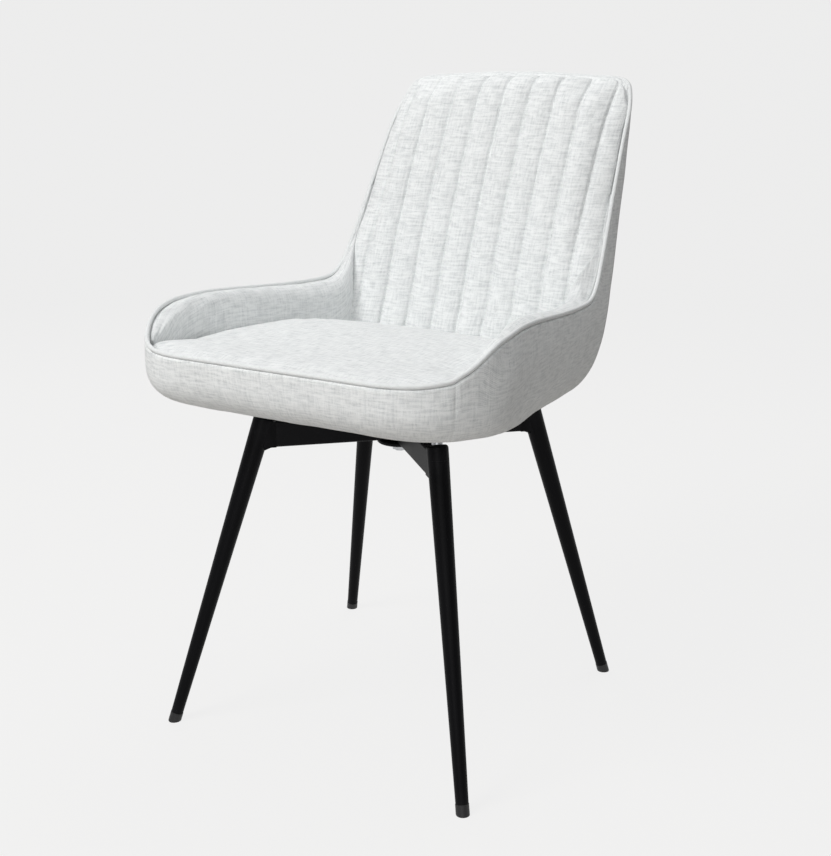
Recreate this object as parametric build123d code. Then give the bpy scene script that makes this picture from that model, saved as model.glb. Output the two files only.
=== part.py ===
from build123d import *
import math
import os

# Swivel dining chair: an upholstered bucket seat turning on a ball-bearing swivel plate, which is
# screwed to a cross of steel bars carried by four splayed, tapered legs.
# Millimetres. +Z is up, the chair faces -Y, and z = 0 is the floor. The model is drawn about the
# swivel axis and moved back at the end, so that the origin lies under the middle of the chair.

os.makedirs("parts", exist_ok=True)

# --- clearances ---
CLEAR = 0.3            # between soft pieces and what they lie against
SLIP = 0.2             # round a screw or bolt in its hole
PIVOT_FIT = 0.05       # radial running clearance of the swivel plate on its pivot
WELD = 0.02            # between two pieces welded face to face

# --- bucket of the seat: the outer, upholstered shell ---
UNDERSIDE_Z = 408.0    # flat underside of the bucket
SEAT_LINE = 96.0       # height of the bucket's widest line over its underside
SEAT_FRONT = 278.0     # reach in front of the swivel axis
SEAT_REAR = 245.0      # reach behind the axis at the widest line
TOP_REAR = 326.0       # reach behind the axis at the top of the back
SEAT_HALF = 253.0      # half width at the front, measured to the corner before it is rounded
SIDE_PULL = 11.0       # how far the sides are drawn in between their corners at the seat
PULL_AT = 0.42         # where that is, as a share of the depth from the front
SIDE_ROUND = 300.0     # plan radius of the drawn-in sides
REAR_HALF = 191.0      # half width at the rear of the seat
TOP_HALF_FRONT = 190.0
TOP_HALF = 176.0       # half width at the top of the back
FRONT_CORNER = 113.0   # plan radius of the front corners
REAR_CORNER = 60.0     # plan radius of the rear corners at the seat
TOP_CORNER = 24.0      # and at the top of the back
SHELL_T = 7.0          # moulded shell with its thin foam and cover
# How the bucket rolls under: rise over the underside, the draw-in at front, rear and sides, and
# the plan radius of the front corners.
ROLL = [
    (0.0, 174.0, 55.0, 60.0, 98.0),
    (5.0, 146.0, 36.0, 48.0, 95.0),
    (12.0, 104.0, 28.0, 38.0, 92.0),
    (25.0, 47.0, 21.0, 25.0, 90.0),
    (43.0, 12.0, 15.0, 12.0, 92.0),
    (65.0, 3.0, 8.0, 5.0, 102.0),
]
BACK_CORNER_GROWTH = 0.155  # how much larger the front corners' radius is at the top
BACK_LEVELS = 10       # steps in which the back's form is drawn, above the seat
BACK_BEND = 0.55       # 0 would make the rear of the back straight, 1 a full parabola

# --- edge of the bucket, seen from the side (the welt runs along it) ---
FRONT_EDGE_Z = 497.0   # edge over the front border
ARM_Z = 540.0          # crest of the arm
ARM_REAR_Z = 526.0     # low point of the edge in front of the back
ARM_START = 219.0      # in front of the axis, where the edge starts to climb
ARM_CREST = 171.0      # in front of the axis, where it reaches the crest
BACK_FOOT = 155.0      # behind the axis, where the arm turns up into the back
TOP_Z = 812.0          # top of the back at the middle
BACK_KNEE = (273.0, TOP_Z - 74.0)
TOP_TURN = (311.0, TOP_Z - 26.0)
TOP_FRONT = 315.0      # where the edge meets the top line
TOP_SAG = 7.0          # how much lower the top line is at its corners
TOP_ROUND = 40.0       # radius of the top corners seen from the front
TOP_FLARE = 12.0       # how much wider the back may be below those corners
FLARE_DROP = 130.0     # how far below the top that is
EDGE_ROUNDS = (40.0, 45.0, 50.0, 120.0, 30.0)
WELT_D = 5.6

# --- soft pieces inside the bucket ---
CUSHION_Z = 508.0      # crown of the seat cushion
CUSHION_EDGE_Z = 497.0
CUSHION_HALF_FRONT = 184.0
CUSHION_HALF_REAR = 153.5
CUSHION_REAR = 147.0
CUSHION_SIDE_PULL = 3.0
CUSHION_FRONT_GAP = 12.0
CUSHION_CORNER = 88.0
CUSHION_CROWN_Y = -50.0
CUSHION_TOP_ROUND = 12.0
CHANNEL = 38.4         # spacing of the sewn seams of the back pad
SEAMS = 9
CHANNEL_CROWN = 5.0    # how far each channel stands out between two seams
PAD_HOLLOW = 13.0      # how much further forward the pad is at its sides
PAD_FLAT = 60.0        # how far under the top the pad is flat across
PAD_HOLLOW_RISE = 200.0  # height below there over which it gets its full hollow
PAD_FOOT_Z = 455.0
PAD_TOP = 9.0          # how far below the top of the back the pad starts to roll over it
# Front of the pad: share of its height, and how far behind the axis it is there.
PAD_FRONT = [(0.0, 140.0), (0.144, 156.0), (0.302, 175.0), (0.46, 195.0), (0.618, 218.0),
             (0.776, 243.0), (0.92, 268.0), (1.0, 290.0)]
PAD_TOP_ROLL = 11.0
PAD_TOP_ROUND = 72.0   # radius of the pad's top corners seen from the front
PAD_FOOT_DRAW = 31.0   # how much narrower the pad is at its foot, between the arm pads
ARM_FOOT_Z = 446.0
ARM_PAD_STATIONS = (-236.0, -206.0, -176.0, -130.0, -40.0, 50.0, 104.0, 136.0)

# --- boards and cover ---
BOARD_T = 12.0         # plywood seat board
BOARD_HALF = 138.0
BOARD_FRONT = 93.0
BOARD_REAR = 178.0
BOARD_CORNER = 40.0
BACK_BOARD_T = 9.0
BACK_BOARD_HALF = 118.0
BACK_BOARD_LOW = 480.0
BACK_BOARD_HIGH = TOP_Z - 52.0
DUST_T = 0.8

# --- swivel ---
FRAME_TOP = 394.0      # top of the crossed bars
PLATE_T = 3.0
LOWER_PLATE = 124.0    # side of the square lower plate
UPPER_PLATE = 150.0    # side of the square upper plate
PLATE_CORNER = 12.0
PLATE_GAP = 3.0
BALL_D = 6.0
BALLS = 16
RACE_R = 36.0          # pitch radius of the ball race
RACE_PLAY = 0.15
CAGE_T = 1.0
CAGE_W = 11.0
PIVOT_D = 12.0
PIVOT_HEAD_D = 22.0
PIVOT_HEAD_T = 2.4
SEAT_BOLT_D = 6.0
SEAT_BOLT_HEAD_D = 11.5
SEAT_BOLT_PITCH = 120.0
SPACER_D = 18.0
T_NUT_D = 9.0
T_NUT_FLANGE_D = 19.0
T_NUT_FLANGE_T = 1.5
PLATE_SCREW_D = 5.0
PLATE_SCREW_HEAD_D = 9.5
PLATE_SCREW_HEAD_T = 2.2
PLATE_SCREW_R = 66.0   # distance of the plate's screws from the axis, over the bars
PLATE_SCREW_LENGTH = 8.0

# --- crossed bars ---
BAR_H = 33.0
BAR_W = 20.0
BAR_WALL = 1.8
BAR_EDGE = 3.0
BAR_END = 160.0        # distance of the bars' outer ends from the axis
HUB_D = 58.0           # disc under the crossing
HUB_T = 5.0
NUT_AF = 18.0
NUT_T = 9.0

# --- legs ---
FOOT = 211.0           # x and y of each foot from the axis
LEG_TOP_XY = 126.1     # x and y of the leg's axis at LEG_TOP_Z
LEG_TOP_Z = 382.0      # where the leg meets its socket
LEG_D_TOP = 25.3
LEG_D_FOOT = 14.9
LEG_WALL = 1.5
SOCKET_TOP_Z = 400.0
SOCKET_WEB_W = 20.0
SOCKET_FILLET = 7.0
TONGUE = 24.0          # length of the socket's tongue inside the bar
GLIDE_H = 16.0         # how far the plastic foot covers the leg's end
GLIDE_PLUG = 14.0
INSERT_LENGTH = 26.0   # threaded plug inside the leg's top
LEG_BOLT_D = 8.0
LEG_BOLT_HEAD_D = 13.0
LEG_BOLT_HEAD_T = 4.0

# --- worked out from the values above ---
SWIVEL_Y = (SEAT_FRONT - TOP_REAR) / 2
SEAT_Z = UNDERSIDE_Z + SEAT_LINE
BACK_RISE = TOP_Z + 6 - SEAT_Z
LOWER_TOP = FRAME_TOP + PLATE_T
UPPER_BOTTOM = LOWER_TOP + PLATE_GAP
UPPER_TOP = UPPER_BOTTOM + PLATE_T
DUST_BOTTOM = UNDERSIDE_Z - DUST_T
BOARD_BOTTOM = UNDERSIDE_Z + SHELL_T
BOARD_TOP = BOARD_BOTTOM + BOARD_T
BALL_Z = LOWER_TOP + PLATE_GAP / 2
BAR_BOTTOM = FRAME_TOP - BAR_H
BAR_Z = FRAME_TOP - BAR_H / 2
FAR = 2 * SEAT_FRONT

CORNERS = {
    "front_right": (1, -1),
    "rear_right": (1, 1),
    "rear_left": (-1, 1),
    "front_left": (-1, -1),
}


# ---------------------------------------------------------------- forms of the bucket
def outline(z, front, rear, half_front, half_rear, pull, r_front, r_rear):
    """Level outline with rounded corners and sides drawn in between them."""
    waist, waist_y = waist_point(front, rear, half_front, half_rear, pull)
    corners = [(-half_front, front, z), (half_front, front, z), (waist, waist_y, z),
               (half_rear, rear, z), (-half_rear, rear, z), (-waist, waist_y, z)]
    rounds = [r_front, r_front, SIDE_ROUND, r_rear, r_rear, SIDE_ROUND]
    return make_face(FilletPolyline(*corners, radius=rounds, close=True))


def waist_point(front, rear, half_front, half_rear, pull):
    """Half width and place of the point where a side is drawn in."""
    half = half_front + (half_rear - half_front) * PULL_AT - pull
    return half, front + (rear - front) * PULL_AT


def bucket_levels():
    """Height, front, rear, half widths, draw-in and corners of the bucket, from below up."""
    levels = []
    for rise, front_in, rear_in, side_in, front_corner in ROLL:
        levels.append((UNDERSIDE_Z + rise, -SEAT_FRONT + front_in, SEAT_REAR - rear_in,
                       SEAT_HALF - side_in, REAR_HALF - side_in / 2, SIDE_PULL, REAR_CORNER,
                       front_corner))
    for k in range(BACK_LEVELS + 1):
        t = k / BACK_LEVELS
        bend = BACK_BEND * (2 * t - t * t) + (1 - BACK_BEND) * t
        levels.append((SEAT_Z + t * BACK_RISE, -SEAT_FRONT,
                       SEAT_REAR + (TOP_REAR - SEAT_REAR) * bend,
                       SEAT_HALF + (TOP_HALF_FRONT - SEAT_HALF) * t,
                       REAR_HALF + (TOP_HALF - REAR_HALF) * t,
                       SIDE_PULL * (1 - 0.8 * t),
                       REAR_CORNER + (TOP_CORNER - REAR_CORNER) * t * t,
                       FRONT_CORNER * (1 + BACK_CORNER_GROWTH * bend)))
    return levels


def bucket_form(inset):
    """Solid form of the bucket, drawn in by inset square to its surface."""
    levels = bucket_levels()
    faces = []
    for i, (z, front, rear, half_front, half_rear, pull, corner, front_corner) in enumerate(levels):
        below = levels[max(i - 1, 0)]
        above = levels[min(i + 1, len(levels) - 1)]
        run = (above[3] - below[3] + above[2] - below[2]) / 2
        steep = math.atan2(above[0] - below[0], max(run, 0.0))
        level_in = inset * math.sin(steep)
        lift = inset * math.cos(steep)
        if i == 0:
            level_in = 0.0
            lift = inset
        faces.append(outline(z + lift, front + level_in, rear - level_in, half_front - level_in,
                             half_rear - level_in, pull, front_corner - level_in,
                             max(corner - level_in, 4.0)))
    return loft(faces)


def side_region(lift):
    """Everything below and behind the bucket's edge, seen from the side."""
    edge = [
        (-FAR, FRONT_EDGE_Z + lift),
        (-ARM_START, FRONT_EDGE_Z + 3 + lift),
        (-ARM_CREST, ARM_Z + lift),
        (BACK_FOOT - lift, ARM_REAR_Z + lift),
        (BACK_KNEE[0] - lift, BACK_KNEE[1]),
        (TOP_TURN[0] - lift, TOP_TURN[1]),
        (TOP_FRONT - lift, TOP_Z + lift),
        (TOP_REAR + 60, TOP_Z + lift),
        (TOP_REAR + 60, UNDERSIDE_Z - 60),
        (-FAR, UNDERSIDE_Z - 60),
    ]
    rounds = [0, *EDGE_ROUNDS, 0, 0, 0, 0]
    points = [(0, y, z) for y, z in edge]
    face = make_face(FilletPolyline(*points, radius=rounds, close=True))
    return extrude(face, amount=FAR, dir=(1, 0, 0), both=True)


def front_region(inset, corner_round):
    """Everything inside the rounded top corners of the back, seen from the front."""
    half_top = TOP_HALF + 3 - inset
    corner_z = TOP_Z - TOP_SAG - inset
    points = [
        (-FAR, UNDERSIDE_Z - 60),
        (FAR, UNDERSIDE_Z - 60),
        (FAR, TOP_Z - FLARE_DROP - 80),
        (half_top + TOP_FLARE, TOP_Z - FLARE_DROP),
        (half_top, corner_z),
        (0, TOP_Z + 2 - inset),
        (-half_top, corner_z),
        (-half_top - TOP_FLARE, TOP_Z - FLARE_DROP),
        (-FAR, TOP_Z - FLARE_DROP - 80),
    ]
    rounds = [0, 0, 0, 0, corner_round, TOP_HALF * 6, corner_round, 0, 0]
    placed = [(x, 0, z) for x, z in points]
    face = make_face(FilletPolyline(*placed, radius=rounds, close=True))
    return extrude(face, amount=FAR, dir=(0, 1, 0), both=True)


def bucket(outer_inset, inner_inset, lift):
    """Wall of the bucket between two insets, cut along its edge."""
    wall = bucket_form(outer_inset) - bucket_form(inner_inset)
    return wall & side_region(lift) & front_region(0, TOP_ROUND)


def side_x(y, z):
    """Half width of the bucket at a place, between two of its levels."""
    levels = bucket_levels()
    for low, high in zip(levels, levels[1:]):
        if z <= high[0] or high is levels[-1]:
            t = (z - low[0]) / (high[0] - low[0])
            front, rear, half_front, half_rear, pull = [
                low[k] + t * (high[k] - low[k]) for k in range(1, 6)]
            waist, waist_y = waist_point(front, rear, half_front, half_rear, pull)
            if y < waist_y:
                return half_front + (waist - half_front) * (y - front) / (waist_y - front)
            return waist + (half_rear - waist) * (y - waist_y) / (rear - waist_y)


# ---------------------------------------------------------------- upholstery
def outer_shell():
    shell = bucket(0, SHELL_T, 0)
    for x, y in seat_bolt_places():
        shell -= Pos(x, y, UNDERSIDE_Z + SHELL_T / 2) * Cylinder(SEAT_BOLT_D / 2 + SLIP, SHELL_T * 2)
    return shell


def seat_cushion(cavity, pad_space):
    """Seat cushion with a crowned top, its front and sides drawn in between the corners."""
    front = -SEAT_FRONT + CUSHION_FRONT_GAP
    waist = (CUSHION_HALF_FRONT + CUSHION_HALF_REAR) / 2 - CUSHION_SIDE_PULL
    waist_y = (front + CUSHION_REAR) / 2
    low = BOARD_TOP + CLEAR
    corners = [(-CUSHION_HALF_FRONT, front, low), (0, front + CUSHION_SIDE_PULL / 2, low),
               (CUSHION_HALF_FRONT, front, low), (waist, waist_y, low),
               (CUSHION_HALF_REAR, CUSHION_REAR, low), (-CUSHION_HALF_REAR, CUSHION_REAR, low),
               (-waist, waist_y, low)]
    rounds = [CUSHION_CORNER, 600, CUSHION_CORNER, 600, 16, 16, 600]
    plan = make_face(FilletPolyline(*corners, radius=rounds, close=True))
    block = extrude(plan, CUSHION_Z - low, dir=(0, 0, 1))
    rise = CUSHION_Z - CUSHION_EDGE_Z
    crown_r = (CUSHION_HALF_FRONT ** 2 + rise ** 2) / (2 * rise)
    cushion = block & (Pos(0, CUSHION_CROWN_Y, CUSHION_Z - crown_r) * Sphere(crown_r))
    top_edges = cushion.faces().sort_by(Axis.Z)[-1].edges()
    cushion = fillet(top_edges, CUSHION_TOP_ROUND)
    return ((cushion & cavity) - pad_space).solids().sort_by(SortBy.VOLUME)[-1]


def pad_edge_y(z):
    """Where the bucket's edge lies behind the axis at height z on the back."""
    slope = (BACK_KNEE[0] - BACK_FOOT) / (BACK_KNEE[1] - ARM_REAR_Z)
    low = BACK_FOOT + (z - ARM_REAR_Z) * slope
    turn_slope = (TOP_TURN[0] - BACK_KNEE[0]) / (TOP_TURN[1] - BACK_KNEE[1])
    upper = BACK_KNEE[0] + (z - BACK_KNEE[1]) * turn_slope
    return min(max(low, upper), TOP_FRONT)


def back_pad_outline(z, front, shrink):
    """Level outline of the back pad: a row of arcs between the seams, and rounded rear corners."""
    half = side_x(pad_edge_y(z), z) - SHELL_T - CLEAR - shrink
    half -= min(PAD_FOOT_DRAW, 0.6 * max(0.0, ARM_REAR_Z + 15 - z))
    rear = rear_y(z) - SHELL_T - CLEAR - shrink / 2
    last = (SEAMS - 1) // 2
    pitch = min(CHANNEL, (half - 14) / last)
    edge = min(max(pad_edge_y(z) + 4, BACK_FOOT - 8), rear - 5)

    hollow = PAD_HOLLOW * min(1.0, (TOP_Z - PAD_FLAT - z) / PAD_HOLLOW_RISE)

    def surface(x):
        return front - hollow * (x / (last * pitch)) ** 2 + shrink

    curves = []
    for k in range(-last, last):
        x0, x1 = k * pitch, (k + 1) * pitch
        middle = (x0 + x1) / 2
        curves.append(ThreePointArc((x0, surface(x0), z), (middle, surface(middle) - CHANNEL_CROWN, z),
                                    (x1, surface(x1), z)))
    x0 = last * pitch
    bulge_x = (x0 + half) / 2 + 3
    bulge_y = surface(x0) + 0.3 * (edge - surface(x0)) - CHANNEL_CROWN
    right = ThreePointArc((x0, surface(x0), z), (bulge_x, bulge_y, z), (half, edge, z))
    left = ThreePointArc((-half, edge, z), (-bulge_x, bulge_y, z), (-x0, surface(x0), z))
    round_r = max(min(REAR_CORNER - SHELL_T, rear - edge - 2), 1.5)
    turn_x, turn_y = half - round_r, rear - round_r
    reach = round_r * math.sqrt(0.5)
    rest = [
        Line((half, edge, z), (half, turn_y, z)),
        ThreePointArc((half, turn_y, z), (turn_x + reach, turn_y + reach, z), (turn_x, rear, z)),
        Line((turn_x, rear, z), (-turn_x, rear, z)),
        ThreePointArc((-turn_x, rear, z), (-turn_x - reach, turn_y + reach, z), (-half, turn_y, z)),
        Line((-half, turn_y, z), (-half, edge, z)),
    ]
    return make_face(curves + [right] + rest + [left])


def rear_y(z):
    """Rear of the bucket at height z, behind the axis."""
    levels = bucket_levels()
    for low, high in zip(levels, levels[1:]):
        if z <= high[0] or high is levels[-1]:
            return low[2] + (z - low[0]) / (high[0] - low[0]) * (high[2] - low[2])


def back_pad_form(grow):
    """Form of the back pad with its channels, its front and foot moved out by grow."""
    height = TOP_Z - PAD_TOP - PAD_FOOT_Z
    faces = []
    for share, front in PAD_FRONT:
        z = PAD_FOOT_Z + share * height - (grow if share == 0 else 0)
        faces.append(back_pad_outline(z, front - grow, -grow))
    faces.append(back_pad_outline(TOP_Z - 3, PAD_FRONT[-1][1] + PAD_TOP_ROLL, 4))
    return loft(faces)


def back_pad():
    pad = back_pad_form(0) - bucket(-15, SHELL_T + CLEAR, CLEAR) - back_board(CLEAR)
    return pad & front_region(3, PAD_TOP_ROUND)


def arm_edge_z(y):
    """Height of the arm's edge at y, from the same points as the side view."""
    places = [(-SEAT_FRONT, FRONT_EDGE_Z), (-ARM_START, FRONT_EDGE_Z + 3), (-ARM_CREST, ARM_Z),
              (BACK_FOOT, ARM_REAR_Z)]
    for (y0, z0), (y1, z1) in zip(places, places[1:]):
        if y <= y1:
            return z0 + (y - y0) / (y1 - y0) * (z1 - z0)
    return ARM_REAR_Z


def cushion_x(y):
    """Half width of the cushion's side at y."""
    t = (y + SEAT_FRONT) / (CUSHION_REAR + SEAT_FRONT)
    return CUSHION_HALF_FRONT + (CUSHION_HALF_REAR - CUSHION_HALF_FRONT) * t


def arm_pad(cavity, pad_space):
    """Padding on the inner face of one arm, rounded over its top and sloping down at the front."""
    faces = []
    for y in ARM_PAD_STATIONS:
        crest = arm_edge_z(y)
        inner = cushion_x(y) + 3 * CLEAR
        outer = side_x(y, crest) + 2
        foot = min(CUSHION_EDGE_Z - 14, crest - 16)
        top_x = outer - 14
        bow = ((inner + top_x) / 2 - 5, y, (foot + crest) / 2 + 6)
        corners = [(inner, y, ARM_FOOT_Z), (inner, y, foot), (top_x, y, crest), (outer, y, crest - 3),
                   (outer, y, ARM_FOOT_Z)]
        curves = [
            Line(corners[0], corners[1]),
            ThreePointArc(corners[1], bow, corners[2]),
            Line(corners[2], corners[3]),
            Line(corners[3], corners[4]),
            Line(corners[4], corners[0]),
        ]
        faces.append(make_face(curves))
    return (loft(faces) & cavity) - pad_space


def welt_points():
    """Half of the welt's line, from the middle of the front border to the middle of the top."""
    wall = SHELL_T / 2
    points = [(0, -SEAT_FRONT + wall, FRONT_EDGE_Z + 1)]
    waist, waist_y = waist_point(-SEAT_FRONT, SEAT_REAR, SEAT_HALF, REAR_HALF, SIDE_PULL)
    lean = math.atan2(SEAT_HALF - waist, waist_y + SEAT_FRONT)
    turn = SEAT_HALF - FRONT_CORNER * (1 + math.sin(lean)) / math.cos(lean)
    for k in range(4):
        a = math.radians(4 + 25 * k)
        x = turn + (FRONT_CORNER - wall) * math.sin(a)
        y = -SEAT_FRONT + FRONT_CORNER - (FRONT_CORNER - wall) * math.cos(a)
        points.append((x, y, arm_edge_z(y) + 2))
    for y in (-ARM_CREST + 32, -78, -10, 55, BACK_FOOT - 32):
        points.append((side_x(y, arm_edge_z(y)) - wall, y, arm_edge_z(y) + 2))
    corner_z = TOP_Z - TOP_SAG
    low_z = ARM_REAR_Z + 30
    step = (BACK_KNEE[1] - low_z) / 3
    for z in (low_z, low_z + step, low_z + 2 * step, BACK_KNEE[1], corner_z - TOP_ROUND):
        points.append((side_x(pad_edge_y(z), z) - wall, pad_edge_y(z), z + 2))
    cut = TOP_ROUND * (1 - math.sqrt(0.5))
    points.append((TOP_HALF - cut, TOP_FRONT, corner_z - cut))
    points.append((TOP_HALF - TOP_ROUND, TOP_REAR - 2 * wall, corner_z - 1))
    points.append((TOP_HALF / 2, TOP_REAR - wall, TOP_Z - 2))
    points.append((0, TOP_REAR - wall, TOP_Z - 1))
    return points


def corner_radius(before, here, after):
    """Largest easy radius at a point of a route, from its two runs and the turn between them."""
    a = Vector(*here) - Vector(*before)
    b = Vector(*after) - Vector(*here)
    turn = math.radians(a.get_angle(b))
    return 0.45 * min(a.length, b.length) / math.tan(turn / 2)


def welt():
    """Piping sewn along the whole edge, one closed loop."""
    half = welt_points()
    loop = half + [(-x, y, z) for x, y, z in reversed(half[1:-1])]
    count = len(loop)
    radii = [corner_radius(loop[i - 1], loop[i], loop[(i + 1) % count]) for i in range(count)]
    path = FilletPolyline(*loop, radius=radii, close=True)
    start = path.edges()[0]
    section = Plane(origin=start @ 0, z_dir=start % 0) * Circle(WELT_D / 2)
    return sweep(section, path=path)


def seat_bolt_places():
    half = SEAT_BOLT_PITCH / 2
    return [(x * half, y * half) for x, y in CORNERS.values()]


def seat_board():
    z = BOARD_BOTTOM + BOARD_T / 2
    mid = (BOARD_REAR - BOARD_FRONT) / 2
    board = Pos(0, mid, z) * extrude(
        RectangleRounded(2 * BOARD_HALF, BOARD_FRONT + BOARD_REAR, BOARD_CORNER), BOARD_T / 2, both=True)
    for x, y in seat_bolt_places():
        board -= Pos(x, y, z) * Cylinder(T_NUT_D / 2 + SLIP, BOARD_T * 2)
        board -= Pos(x, y, BOARD_TOP) * Cylinder(T_NUT_FLANGE_D / 2 + SLIP, 2 * T_NUT_FLANGE_T)
    return board


def back_board(grow):
    """Plywood board inside the back, set into the shell's rear wall before it is trimmed to it."""
    low, high = BACK_BOARD_LOW - grow, BACK_BOARD_HIGH + grow
    faces = []
    for k in range(4):
        z = low + (high - low) * k / 3
        mid = rear_y(z) - SHELL_T - BACK_BOARD_T / 2
        faces.append(Pos(0, mid, z) * Rectangle(2 * (BACK_BOARD_HALF + grow), BACK_BOARD_T + 2 * grow))
    return loft(faces)


def dust_cover():
    cover = extrude(RectangleRounded(2 * BOARD_HALF, BOARD_FRONT + BOARD_REAR, BOARD_CORNER), DUST_T)
    cover = Pos(0, (BOARD_REAR - BOARD_FRONT) / 2, DUST_BOTTOM) * cover
    cover -= Pos(0, 0, DUST_BOTTOM) * Cylinder(PIVOT_HEAD_D / 2 + 3, 4 * DUST_T)
    for x, y in seat_bolt_places():
        cover -= Pos(x, y, DUST_BOTTOM) * Cylinder(SEAT_BOLT_D / 2 + SLIP, 4 * DUST_T)
    return cover


# ---------------------------------------------------------------- swivel
def race():
    """Groove that both swivel plates have for the balls."""
    return Pos(0, 0, BALL_Z) * Torus(RACE_R, BALL_D / 2 + RACE_PLAY)


def swivel_lower_plate():
    plate = extrude(RectangleRounded(LOWER_PLATE, LOWER_PLATE, PLATE_CORNER), PLATE_T)
    plate = Pos(0, 0, FRAME_TOP) * plate - race()
    plate -= Pos(0, 0, FRAME_TOP) * Cylinder(PIVOT_D / 2 + SLIP, 4 * PLATE_T)
    for x, y in plate_screw_places():
        plate -= Pos(x, y, FRAME_TOP) * Cylinder(PLATE_SCREW_D / 2 + SLIP, 4 * PLATE_T)
    return plate


def swivel_upper_plate():
    plate = extrude(RectangleRounded(UPPER_PLATE, UPPER_PLATE, PLATE_CORNER), PLATE_T)
    plate = Pos(0, 0, UPPER_BOTTOM) * plate - race()
    plate -= Pos(0, 0, UPPER_BOTTOM) * Cylinder(PIVOT_D / 2 + PIVOT_FIT, 4 * PLATE_T)
    for x, y in seat_bolt_places():
        plate -= Pos(x, y, UPPER_BOTTOM) * Cylinder(SEAT_BOLT_D / 2 + SLIP, 4 * PLATE_T)
        plate -= Pos(x, y, UPPER_BOTTOM + PLATE_T / 2) * Cone(
            SEAT_BOLT_HEAD_D / 2 + SLIP, SEAT_BOLT_D / 2 + SLIP, PLATE_T)
    return plate


def bearing_balls():
    ball = Pos(RACE_R, 0, BALL_Z) * Sphere(BALL_D / 2)
    return [Rot(0, 0, 360 * k / BALLS) * ball for k in range(BALLS)]


def ball_cage():
    """Flat ring that keeps the balls apart."""
    ring = Pos(0, 0, BALL_Z) * (Cylinder(RACE_R + CAGE_W / 2, CAGE_T)
                                - Cylinder(RACE_R - CAGE_W / 2, CAGE_T))
    hole = Pos(RACE_R, 0, BALL_Z) * Cylinder(BALL_D / 2 + CLEAR, 2 * CAGE_T)
    for k in range(BALLS):
        ring -= Rot(0, 0, 360 * k / BALLS) * hole
    return ring


def pivot_bolt():
    """Pivot of the swivel: its head holds the upper plate down, its nut is under the hub disc."""
    top = UPPER_TOP + CLEAR
    low = BAR_BOTTOM - HUB_T - NUT_T - 2
    head = Pos(0, 0, top + PIVOT_HEAD_T / 2) * Cylinder(PIVOT_HEAD_D / 2, PIVOT_HEAD_T)
    shank = Pos(0, 0, (top + low) / 2) * Cylinder(PIVOT_D / 2, top - low)
    return head + shank


def pivot_nut():
    nut = extrude(RegularPolygon(NUT_AF / 2, 6, major_radius=False), NUT_T)
    nut = Pos(0, 0, BAR_BOTTOM - WELD - HUB_T - NUT_T) * nut
    return nut - Pos(0, 0, BAR_BOTTOM - HUB_T) * Cylinder(PIVOT_D / 2 + SLIP, 4 * NUT_T)


def hub_disc():
    """Disc welded under the crossing of the bars."""
    disc = Cylinder(HUB_D / 2, HUB_T) - Cylinder(PIVOT_D / 2 + SLIP, 2 * HUB_T)
    disc = chamfer(disc.edges().filter_by(GeomType.CIRCLE).group_by(SortBy.RADIUS)[-1], 1.2)
    return Pos(0, 0, BAR_BOTTOM - WELD - HUB_T / 2) * disc


def plate_screw_places():
    r = PLATE_SCREW_R / math.sqrt(2)
    return [(x * r, y * r) for x, y in CORNERS.values()]


def plate_screws():
    screws = []
    for x, y in plate_screw_places():
        head = Pos(x, y, LOWER_TOP + PLATE_SCREW_HEAD_T / 2) * Cylinder(
            PLATE_SCREW_HEAD_D / 2, PLATE_SCREW_HEAD_T)
        shank = Pos(x, y, LOWER_TOP - PLATE_SCREW_LENGTH / 2) * Cylinder(
            PLATE_SCREW_D / 2, PLATE_SCREW_LENGTH)
        screws.append(head + shank)
    return screws


def seat_bolts():
    """Countersunk bolts up through the upper plate, spacers, shell and seat board."""
    bolts = []
    length = BOARD_TOP - 1 - UPPER_BOTTOM
    for x, y in seat_bolt_places():
        head = Pos(x, y, UPPER_BOTTOM + PLATE_T / 2) * Cone(SEAT_BOLT_HEAD_D / 2, SEAT_BOLT_D / 2, PLATE_T)
        shank = Pos(x, y, UPPER_BOTTOM + length / 2) * Cylinder(SEAT_BOLT_D / 2, length)
        bolts.append(head + shank)
    return bolts


def seat_spacers():
    height = DUST_BOTTOM - UPPER_TOP
    spacers = []
    for x, y in seat_bolt_places():
        ring = Cylinder(SPACER_D / 2, height) - Cylinder(SEAT_BOLT_D / 2 + SLIP, 2 * height)
        spacers.append(Pos(x, y, UPPER_TOP + height / 2) * ring)
    return spacers


def t_nuts():
    nuts = []
    for x, y in seat_bolt_places():
        barrel = Pos(x, y, (BOARD_BOTTOM + BOARD_TOP) / 2) * Cylinder(T_NUT_D / 2, BOARD_T)
        flange = Pos(x, y, BOARD_TOP - T_NUT_FLANGE_T / 2) * Cylinder(T_NUT_FLANGE_D / 2, T_NUT_FLANGE_T)
        hole = Pos(x, y, BOARD_TOP) * Cylinder(SEAT_BOLT_D / 2 + SLIP, 4 * BOARD_T)
        nuts.append(barrel + flange - hole)
    return nuts


# ---------------------------------------------------------------- crossed bars
def bar(start, end):
    """Rectangular tube lying along +X, from start to end."""
    outer = RectangleRounded(BAR_W, BAR_H, BAR_EDGE)
    inner = RectangleRounded(BAR_W - 2 * BAR_WALL, BAR_H - 2 * BAR_WALL, BAR_EDGE - BAR_WALL)
    tube = extrude(Plane.YZ * (outer - inner), end - start)
    return Pos(start, 0, BAR_Z) * tube


def with_screw_holes(solid):
    for x, y in plate_screw_places():
        solid -= Pos(x, y, FRAME_TOP) * Cylinder(PLATE_SCREW_D / 2 + SLIP, 4 * BAR_WALL)
    return solid


def through_bar():
    tube = Rot(0, 0, 45) * bar(-BAR_END, BAR_END)
    return with_screw_holes(tube) - Pos(0, 0, BAR_Z) * Cylinder(PIVOT_D / 2 + SLIP, 2 * BAR_H)


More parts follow.
